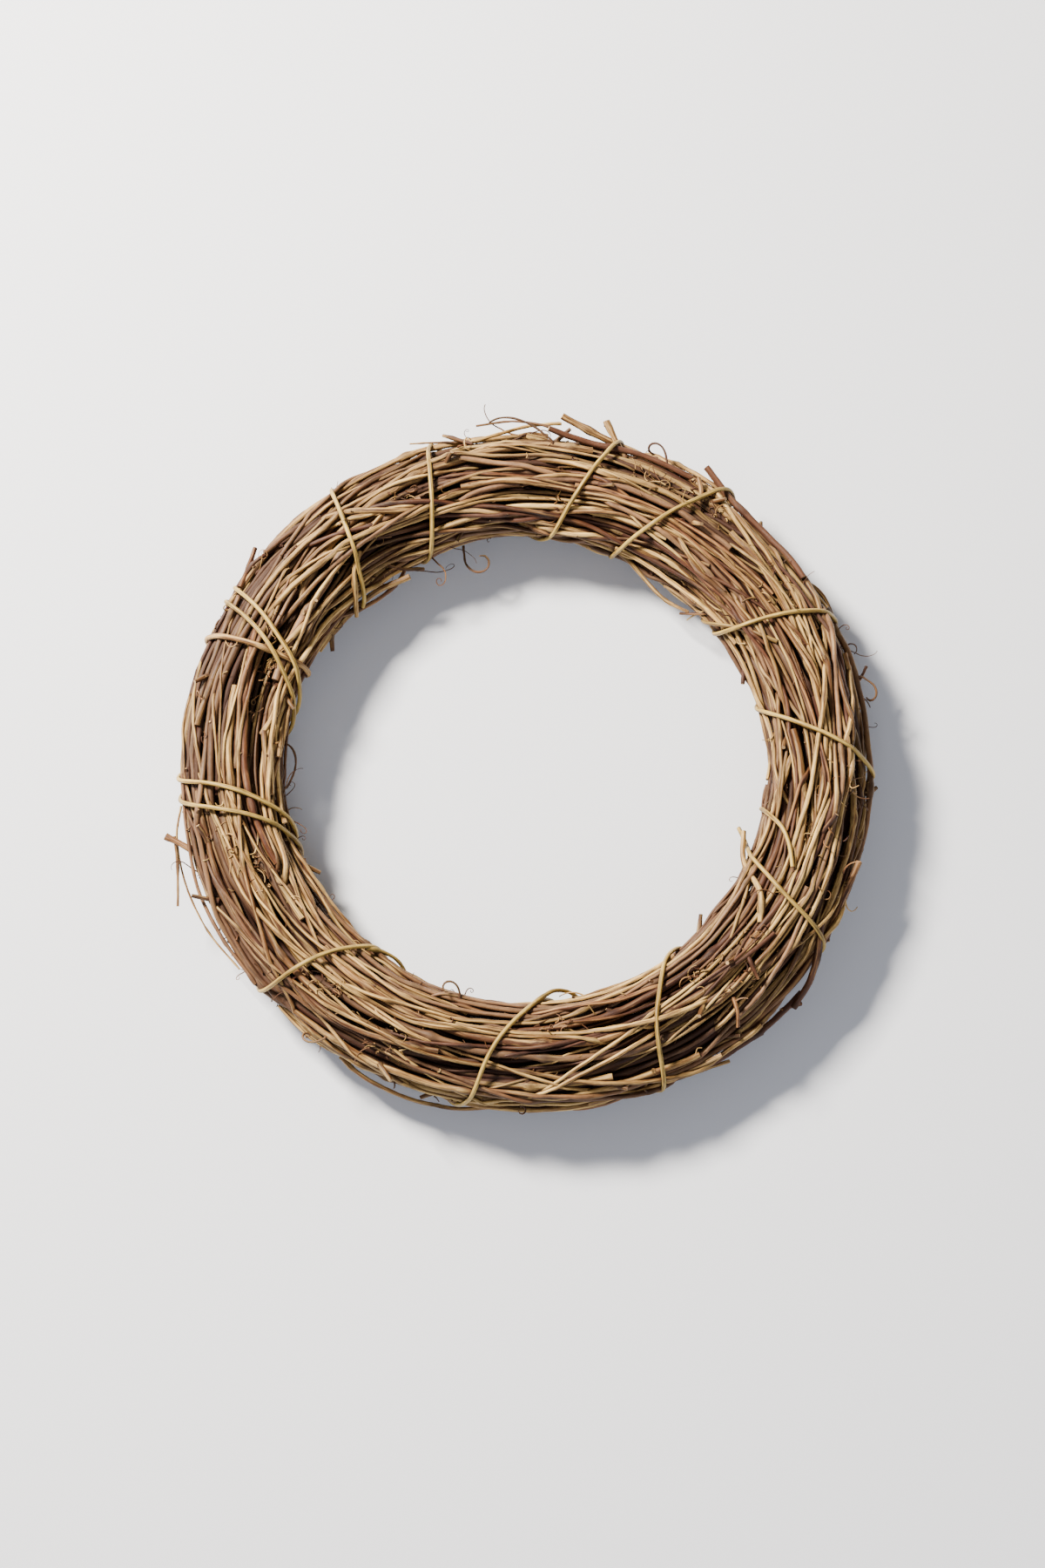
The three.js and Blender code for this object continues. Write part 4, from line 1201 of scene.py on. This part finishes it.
LOOSE_TWIGS = (
    LooseTwig(Bark.BROWN, 1.25, ((18, 36, -2.5), (15.6, 28, 1.5), (13.2, 22, 8.0))),
    LooseTwig(Bark.TAN, 0.70, ((350, 32, -1.0), (356, 26, 0.8), (1, 18, 2.8), (6, 13, 4.2))),
    LooseTwig(Bark.BROWN, 0.50, ((9, 30, -0.5), (4, 22, 2.6), (358, 18, 4.6), (352, 16, 4.0))),
    LooseTwig(
        Bark.TAN, 0.80,
        ((19, 166, -1.5), (26, 174, 0.8), (33, 182, 4.0), (39.5, 184, 5.6), (46, 180, 3.6)),
    ),
    LooseTwig(Bark.RUSSET, 0.50, ((50, 172, -1.0), (47, 177, 3.2), (44.4, 184, 5.6))),
    LooseTwig(Bark.TAN, 0.34, ((49, 170, -1.0), (47.6, 180, 3.0), (46.8, 190, 5.4))),
    LooseTwig(
        Bark.RUSSET, 1.35,
        ((119.5, 36, -1.5), (124, 22, 1.2), (127.6, 10, 3.0), (130.2, 2, 3.6), (132.6, 354, 4.2)),
    ),
    LooseTwig(Bark.RUSSET, 0.95, ((134.5, 353, 2.2), (133, 350, 3.4), (131.2, 346, 6.0))),
    LooseTwig(Bark.BROWN, 0.80, ((162, 340, -1.0), (154, 338, 0.6), (149, 340, 2.6), (145.6, 343, 4.6))),
    LooseTwig(Bark.RUSSET, 0.80, ((140, 66, -1.0), (141, 54, 1.2), (142.4, 40, 2.2))),
    LooseTwig(
        Bark.TAN, 0.42,
        ((263, 4, -0.5), (257.5, 0, 2.8), (250, 356, 3.8), (242, 354, 3.2), (234, 352, 0.6)),
    ),
    LooseTwig(Bark.RUSSET, 1.20, ((254.5, 14, -2.5), (257, 8, 2.6), (258.4, 5, 6.4))),
    LooseTwig(Bark.TAN, 0.55, ((258.2, 6, 3.4), (253.6, 2, 4.6), (247.4, 0, 9.0))),
    LooseTwig(
        Bark.BROWN, 0.85,
        ((212, 352, -1.0), (206, 349, 1.3), (199, 346, 2.2), (192, 344, 1.6), (186, 344, -0.8)),
    ),
    LooseTwig(Bark.TAN, 1.15, ((126, 100, -1.0), (120.6, 118, 0.8), (115.2, 158, 1.6), (107.8, 168, 4.8))),
    LooseTwig(Bark.BROWN, 0.70, ((326, 158, -1.0), (329, 170, 1.6), (333.5, 180, 3.4))),
    LooseTwig(
        Bark.RUSSET, 0.85,
        ((309, 172, -1.0), (315, 182, 2.2), (321, 186, 3.6), (327, 182, 2.4), (331, 170, -1.0)),
    ),
    LooseTwig(Bark.TAN, 1.0, ((322, 118, -1.0), (317.9, 132, 0.6), (314.5, 158, 1.6), (312.1, 178, 3.4))),
    LooseTwig(Bark.RUSSET, 1.0, ((302, 30, -1.0), (306, 20, 0.6), (309.2, 14, 2.8))),
    LooseTwig(Bark.BROWN, 0.42, ((350, 26, -1.0), (345, 18, 0.8), (340.6, 12, 3.2))),
    LooseTwig(Bark.BROWN, 0.75, ((351, 34, -1.5), (348, 24, 0.8), (346.2, 18, 2.8))),
    LooseTwig(Bark.RUSSET, 0.60, ((76, 8, -1.0), (74.6, 4, 2.0), (73.4, 2, 4.0))),
    LooseTwig(Bark.BROWN, 0.90, ((34, 58, -1.5), (32.6, 50, 0.8), (31, 42, 2.4))),
    LooseTwig(Bark.RUSSET, 0.75, ((132.2, 94, -1.2), (133.4, 84, 1.0), (134.8, 66, 2.0))),
    LooseTwig(
        Bark.BINDING, 0.8,
        (
            (178.6, 148, 0.4), (175.8, 164, 2.0), (172.8, 176, 3.6), (169.6, 184, 3.0), (167, 194, 0.6),
            (165.6, 204, -1.5),
        ),
    ),
    LooseTwig(
        Bark.BINDING, 0.8,
        ((219.5, 150, 0.3), (216.5, 166, 1.2), (213, 178, 1.8), (210, 190, 0.8), (208.5, 202, -1.4)),
    ),
    LooseTwig(
        Bark.BINDING, 0.8,
        (
            (65, 108, -0.4), (60, 128, 0.8), (56.6, 144, 1.0), (53.5, 158, 1.8), (51, 172, 2.2),
            (49.4, 188, 0.8), (48.8, 200, -1.4),
        ),
    ),
)


@dataclass(frozen=True)
class Tendril:
    """A dry tendril that stands off the bundle and curls up.

    Attributes:
        clock: Where it grows.
        section: Where on the bundle's outline it grows.
        heading: Its way at first, in degrees from straight out of the bundle towards greater clock angles.
        length: In millimetres.
        turns: How many turns its end is curled up.
        thick: Its radius at its root, in millimetres.
        step: Between two of its points, in millimetres.
        kinks: How sharply each of its waves bends it, and their turn for each millimetre.
    """

    clock: float
    section: float
    heading: float
    length: float
    turns: float
    thick: float = 0.34

    step = 0.5
    kinks = ((0.16, 0.9), (0.20, 2.1))

    def grow(self, ring: Ring, draw: random.Random) -> Strand:
        """Grows it from its root to its tip.

        Args:
            ring: Places on the wreath.
            draw: The random draws.

        Returns:
            The tendril.
        """
        point = ring.place(self.clock, self.section, 0.86)
        out = (ring.place(self.clock, self.section, 1.0) - point).normalized()
        along = ring.outward(self.clock).cross(UP)
        heading = math.radians(self.heading)
        way = out * math.cos(heading) + along * math.sin(heading)
        axis = (UP * 0.9 + Vector([draw.uniform(-0.35, 0.35) for _ in range(3)])).normalized()
        phases, side = [draw.uniform(0, math.tau) for _ in self.kinks], draw.choice((-1, 1))
        count = round(self.length / self.step)
        points = [point]
        for i in range(count):
            share = i / count
            curled = 4 * share**3 * math.tau * self.turns / count
            run = i * self.step
            kinked = sum(
                amount * math.sin(phase + run * wave) for (amount, wave), phase in zip(self.kinks, phases)
            )
            turned = curled + kinked * self.step * (1 - 0.6 * share)
            way = (way + axis.cross(way) * side * turned + axis * 0.004).normalized()
            points.append(points[-1] + way * self.step * MM)
            points[-1].z = max(points[-1].z, self.thick * MM)
        radii = [self.thick * MM * (1 - 0.6 * i / count) for i in range(count + 1)]
        return Strand(points, radii, draw.uniform(-0.3, 0.0), draw.uniform(-1, 0.2))


TENDRILS = (
    Tendril(335, 178, 25, 24, 1.3, 0.36),
    Tendril(328, 184, 35, 30, 0.7, 0.26),
    Tendril(339, 176, 60, 17, 0.2, 0.22),
    Tendril(194.5, 176, -20, 10, 1.4, 0.30),
    Tendril(262, 180, 20, 12, 1.0, 0.24),
    Tendril(257, 172, -35, 15, 0.8, 0.26),
    Tendril(251, 178, 30, 9, 1.2, 0.22),
    Tendril(2, 12, -74, 26, 0.3, 0.42),
    Tendril(357, 20, 70, 20, 0.4, 0.36),
    Tendril(67, 8, -30, 11, 1.5, 0.28),
    Tendril(232.6, 0, 20, 10, 1.0, 0.26),
    Tendril(236, 176, -25, 9, 0.9, 0.26),
    Tendril(29, 16, -30, 9, 1.1, 0.26),
    Tendril(22, 10, 35, 8, 0.9, 0.24),
    Tendril(24.5, 14, -20, 7, 1.2, 0.22),
    Tendril(243, 6, -68, 15, 0.4, 0.26),
    Tendril(250, 10, 68, 16, 0.5, 0.30),
    Tendril(118, 178, 15, 8, 0.9, 0.24),
    Tendril(150, 6, -35, 10, 0.8, 0.26),
    Tendril(83, 0, 25, 8, 0.7, 0.24),
    Tendril(306, 176, 15, 9, 1.1, 0.24),
    Tendril(19, 14, -50, 12, 0.6, 0.20),
    Tendril(20.5, 12, 10, 8, 1.3, 0.18),
    Tendril(27, 14, -60, 9, 1.6, 0.20),
    Tendril(68.5, 6, 55, 16, 0.3, 0.26),
    Tendril(260, 180, 65, 18, 0.3, 0.26),
    Tendril(325, 184, -60, 14, 0.8, 0.20),
    Tendril(352, 14, -60, 12, 1.4, 0.22),
    Tendril(196, 176, 30, 7, 1.8, 0.24),
)


@dataclass
class Litter:
    """Shreds of bark, curls of dead tendril and broken bits that are caught between the vines.

    Attributes:
        ring: Places on the wreath.
        crowd: What they are caught in.
        count: How many lie anywhere.
        seed: Of their random draws.
        nests: Clock and section angle of each tangle of them.
        nest_count: How many lie in each tangle.
        reach: How far out they lie, from the middle of the bundle to its outline.
        lengths: The shortest and longest.
        thick: The thinnest and thickest radius.
        pieces: How many straight stretches each is made of.
        underneath: The section angles of the ones that lie underneath.
        on_top: The section angles of the others.
    """

    ring: Ring
    crowd: Crowd
    count: int = 620
    seed: int = 23
    nests: tuple[Span, ...] = (
        (336, 88), (322, 165), (297, 92), (290, 120), (253, 78), (247, 96), (224, 62), (219, 84),
        (130, 98), (137, 70), (142, 105), (36, 52), (24, 62), (55, 66), (174, 116), (205, 60), (8, 120),
        (95, 60), (104, 96),
    )
    nest_count: int = 32
    reach: Span = (0.80, 1.0)
    lengths: Span = (2.5 * MM, 11 * MM)
    thick: Span = (0.14 * MM, 0.42 * MM)
    pieces: int = 9
    underneath: Span = (200, 340)
    on_top: Span = (-20, 200)

    def lay(self) -> list[Strand]:
        """Lays them.

        Returns:
            The shreds, curls and bits.
        """
        draw = random.Random(self.seed)
        chains, radii = [], []
        for clock, section in self.spots(draw):
            around = UP.cross(self.ring.outward(clock)) * draw.choice((-1, 1))
            way = (around + 0.9 * Vector([draw.uniform(-1, 1) for _ in range(3)])).normalized()
            length = self.lengths[0] + (self.lengths[1] - self.lengths[0]) * draw.random() ** 2
            axis = Vector([draw.uniform(-1, 1) for _ in range(3)]).normalized()
            side = draw.choice((-1, 1))
            curl = side * (draw.uniform(1.0, 3.0) if draw.random() < 0.5 else draw.uniform(3, 8))
            points = [self.ring.place(clock, section, draw.uniform(*self.reach))]
            for _ in range(self.pieces):
                points.append(points[-1] + way * length / self.pieces)
                way = (way + axis.cross(way) * curl / self.pieces).normalized()
            chains.append(np.array(points))
            radii.append(draw.uniform(*self.thick) * (1 - 0.5 * np.linspace(0, 1, self.pieces + 1)))
        settled = self.crowd.settle(chains, radii, rounds=10, pull=0.06 * MM, stiffness=0)
        return [
            Strand([Vector(p) for p in chain], list(sizes), draw.uniform(-0.4, 0.3), draw.uniform(-1, 1))
            for chain, sizes in zip(settled, radii)
        ]

    def spots(self, draw: random.Random) -> list[Span]:
        """Chooses where they lie.

        Args:
            draw: The random draws.

        Returns:
            The clock and section angle of each.
        """
        found = []
        for n in range(self.count):
            sections = self.underneath if n % 7 == 0 else self.on_top
            found.append((draw.uniform(0, 360), draw.uniform(*sections)))
        for clock, section in self.nests:
            found += [(draw.gauss(clock, 2.2), draw.gauss(section, 7)) for _ in range(self.nest_count)]
        return found


class Wreath:
    """The whole wreath: every piece replaces its node of the frame or is laid on the bundle.

    Attributes:
        fine_seed: What makes the bark of the fine twigs their own.
        litter_seed: The same for the litter.
        tendril_seed: The same for the tendrils.
        filling_seed: The same for the filling.
        loose_seed: The same for the loose twigs.
        loose_growth: Seed of the loose twigs' growth.
        tendril_growth: Seed of the tendrils' growth.
    """

    fine_seed = 100
    litter_seed = 200
    tendril_seed = 300
    filling_seed = 400
    loose_seed = 500
    loose_growth = 17
    tendril_growth = 31

    def __init__(self) -> None:
        """Reads the frame's vines and the ring's middle."""
        record = frame["record"]
        openings = record["physics"]["openings"]
        low, high = next(o["box_m"] for o in openings if o["name"] == "wreath_hole_middle")
        hub = Vector(((low[0] + high[0]) / 2, (low[1] + high[1]) / 2, 0))
        self.slot_of = {part["node"]: Bark(part["material_slot"]) for part in record["subparts"]}
        self.materials = {finish.bark: finish.build() for finish in FINISHES}
        reader = SolidReader(hub)
        self.lines = {
            name: reader.read(node, in_planes=not name.startswith("binding"))
            for name, node in sorted(frame["nodes"].items())
        }
        core = [p for name, line in self.lines.items() if name.startswith("core_vine") for p in line[0]]
        radius = sum((p - hub).xy.length for p in core) / len(core)
        self.ring = Ring(hub, radius, sum(p.z for p in core) / len(core))
        self.crowd = Crowd(self.ring)
        self.sweep = TwigSweep(self.ring)

    def dress(self) -> None:
        """Dresses every node and lays the rest on top."""
        grown = {name: self.grown(name, seed) for seed, name in enumerate(self.lines)}
        for name, strands in grown.items():
            if not name.startswith("binding"):
                for strand in strands:
                    self.crowd.take(strand)
        filling = Filling(self.ring).lay()
        for strand in filling:
            self.crowd.take(strand)
        fine = FineTwigs(self.ring, self.crowd).lay()
        self.tighten([grown[name][0] for name in grown if name.startswith("binding")])
        crevices = Crevices(self.crowd)
        for piece, bark, nodes in (*self.vines(grown), *self.twigs(filling, fine), *self.trimmings()):
            crevices.mark(piece)
            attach(piece, "root")
            if nodes:
                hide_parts(*nodes)
            log.info("%s: %d faces", piece.name, len(piece.data.polygons))

    def vines(self, grown: dict[str, list[Strand]]) -> Iterator[Piece]:
        """Sweeps the vines of the nodes.

        Args:
            grown: Each node's vine with its buds and shoots.

        Yields:
            Each piece with its bark and the node that it replaces.
        """
        for seed, (name, strands) in enumerate(grown.items()):
            bark, habit = self.slot_of[name], self.habit(name)
            sizes = {"Sides": habit.sides, "Step": habit.step, "Ridge": habit.ridge, "Lump": habit.lump}
            yield self.sweep.make(name + "_bark", strands, self.materials[bark], seed, **sizes), bark, (name,)

    def twigs(self, filling: list[Strand], fine: dict[tuple[str, Bark], list[Strand]]) -> Iterator[Piece]:
        """Sweeps the twigs that were laid between and over the vines, and those that stand off.

        Args:
            filling: The old twigs below the outer vines.
            fine: The fine twigs, by where they lie and by their bark.

        Yields:
            Each piece with its bark.
        """
        brown, sizes = self.materials[Bark.BROWN], {"Sides": 8, "Step": 2.2 * MM}
        yield self.sweep.make("filling", filling, brown, self.filling_seed, **sizes), Bark.BROWN, ()
        for (place, bark), strands in fine.items():
            name = f"fine_twigs_{place}_{bark.name.lower()}"
            yield self.sweep.make(name, strands, self.materials[bark], self.fine_seed, Sides=10), bark, ()
        grower = Grower(random.Random(self.loose_growth))
        habit = Habit(fullness=1.0, sway=0.14 * MM, bend=0.2 * MM, internode=(16 * MM, 34 * MM))
        loose: dict[Bark, list[Strand]] = {}
        for twig in LOOSE_TWIGS:
            loose.setdefault(twig.bark, []).extend(twig.grow(self.ring, grower, habit))
        for bark, strands in loose.items():
            name = "loose_twigs_" + bark.name.lower()
            yield self.sweep.make(name, strands, self.materials[bark], self.loose_seed), bark, ()

    def trimmings(self) -> Iterator[Piece]:
        """Sweeps the tendrils and the litter.

        Yields:
            Each piece with its bark.
        """
        draw = random.Random(self.tendril_growth)
        russet = self.materials[Bark.RUSSET]
        sizes = {"Sides": 6, "Step": 0.6 * MM, "Ridge": 0.0, "Lump": 0.1 * MM}
        tendrils = [tendril.grow(self.ring, draw) for tendril in TENDRILS]
        yield self.sweep.make("tendrils", tendrils, russet, self.tendril_seed, **sizes), Bark.RUSSET, ()
        sizes = {"Sides": 4, "Step": 0.8 * MM, "Ridge": 0.0, "Lump": 0.1 * MM}
        litter = Litter(self.ring, self.crowd).lay()
        barks = (Bark.BROWN, Bark.RUSSET, Bark.TAN)
        for n, bark in enumerate(barks):
            shreds = litter[n :: len(barks)]
            name = "litter_" + bark.name.lower()
            yield self.sweep.make(name, shreds, self.materials[bark], self.litter_seed, **sizes), bark, ()

    def grown(self, name: str, seed: int) -> list[Strand]:
        """Grows the vine of a node.

        Args:
            name: The node.
            seed: Of its random draws.

        Returns:
            The vine with its buds and shoots.
        """
        points, radii, shoots = self.lines[name]
        habit, draw = self.habit(name), random.Random(seed)
        grower = Grower(draw)
        spread = 0.06 if name.startswith("binding") else 0.2
        tint, tone = habit.tint + draw.uniform(-spread, spread), draw.uniform(-1, 1)
        return grower.grow(points, radii, habit, tint, tone) + [grower.shoot(line, tint) for line in shoots]

    def habit(self, name: str) -> Habit:
        """How the vine of a node grows."""
        return next(habit for kind, habit in HABITS.items() if name.startswith(kind))

    def tighten(self, bindings: list[Strand]) -> None:
        """Draws the bindings tight round everything that lies in the bundle.

        Args:
            bindings: The bindings, whose points are changed.
        """
        slack, rounds, pull, evened = 1.4 * MM, 40, 0.07 * MM, 6
        chains = []
        for strand in bindings:
            ways = [(point - self.ring.middle(point)).normalized() for point in strand.points]
            chains.append(np.array([point + way * slack for point, way in zip(strand.points, ways)]))
        radii = [np.array(strand.radii) for strand in bindings]
        for strand, chain in zip(bindings, self.crowd.settle(chains, radii, rounds, pull, stiffness=1)):
            for _ in range(evened):
                chain[1:-1] += ((chain[2:] + chain[:-2]) / 2 - chain[1:-1]) / 2
            strand.points = [Vector(p) for p in chain]
            self.crowd.take(strand)


@dataclass
class Studio:
    """The floor, the light and the camera.

    Attributes:
        ring: Places on the wreath.
        photo_width: Of the photograph, in pixels.
        photo_height: Of the photograph, in pixels.
        ring_middle: Where the middle of the ring is in it.
        ring_width: How wide the ring is in it.
        outer_diameter: How wide the ring really is.
        elevation: How steeply the camera looks down.
        distance: From the camera to the wreath.
        sensor: Width of the camera's sensor.
    """

    ring: Ring
    photo_width: float = 1200
    photo_height: float = 1800
    ring_middle: Span = (603, 879)
    ring_width: float = 794
    outer_diameter: float = 250 * MM
    elevation: float = math.radians(77)
    distance: float = 1.15
    sensor: float = 36.0

    def build(self) -> None:
        """Makes all of it."""
        self.floor()
        self.light()
        self.camera()

    def floor(self) -> None:
        """A plain pale floor."""
        size = 3.0
        corners = [(-size, -size, 0), (size, -size, 0), (size, size, 0), (-size, size, 0)]
        mesh = bpy.data.meshes.new("floor")
        mesh.from_pydata(corners, [], [(0, 1, 2, 3)])
        floor = bpy.data.objects.new("floor", mesh)
        bpy.context.scene.collection.objects.link(floor)
        material = bpy.data.materials.new("floor_paint")
        material.use_nodes = True
        shader = material.node_tree.nodes["Principled BSDF"]
        shader.inputs["Base Color"].default_value = linear("#e2e7f1")
        shader.inputs["Roughness"].default_value = 0.85
        mesh.materials.append(material)

    def light(self) -> None:
        """Light from the upper left, with a dim fill from everywhere."""
        world = bpy.data.worlds.new("studio")
        bpy.context.scene.world = world
        world.use_nodes = True
        background = world.node_tree.nodes["Background"]
        background.inputs["Color"].default_value = linear("#efebe8")
        background.inputs["Strength"].default_value = 0.36
        for name, place, size, power, colour in (
            ("key", Vector((-0.75, 0.62, 0.95)), 0.26, 89.0, "#fff5e6"),
            ("front_fill", Vector((0.2, -1.1, 1.0)), 0.9, 7.0, "#eef2ff"),
        ):
            lamp = bpy.data.lights.new(name, "AREA")
            lamp.energy = power
            lamp.color = linear(colour)[:3]
            lamp.size = size
            carrier = bpy.data.objects.new(name, lamp)
            carrier.location = place
            carrier.rotation_euler = (self.ring.hub - place).to_track_quat("-Z", "Y").to_euler()
            bpy.context.scene.collection.objects.link(carrier)

    def camera(self) -> None:
        """A long lens that looks down at the wreath, with the ring where the photo has it."""
        away = Vector((0, -math.cos(self.elevation), math.sin(self.elevation)))
        right = Vector((1, 0, 0))
        up = right.cross(-away)
        pixel = self.outer_diameter / self.ring_width
        x, y = self.ring_middle
        target = self.ring.hub + UP * self.ring.height
        target -= right * (x - self.photo_width / 2) * pixel
        target += up * (y - self.photo_height / 2) * pixel
        lens = bpy.data.cameras.new("camera")
        lens.sensor_fit = "HORIZONTAL"
        lens.sensor_width = self.sensor
        lens.lens = self.sensor * self.distance / (self.photo_width * pixel)
        camera = bpy.data.objects.new("camera", lens)
        camera.location = target + away * self.distance
        camera.rotation_euler = (-away).to_track_quat("-Z", "Y").to_euler()
        bpy.context.scene.collection.objects.link(camera)
        bpy.context.scene.camera = camera


def main() -> None:
    """Builds the studio and the wreath."""
    wreath = Wreath()
    Studio(wreath.ring).build()
    wreath.dress()


if __name__ == "__main__":
    main()
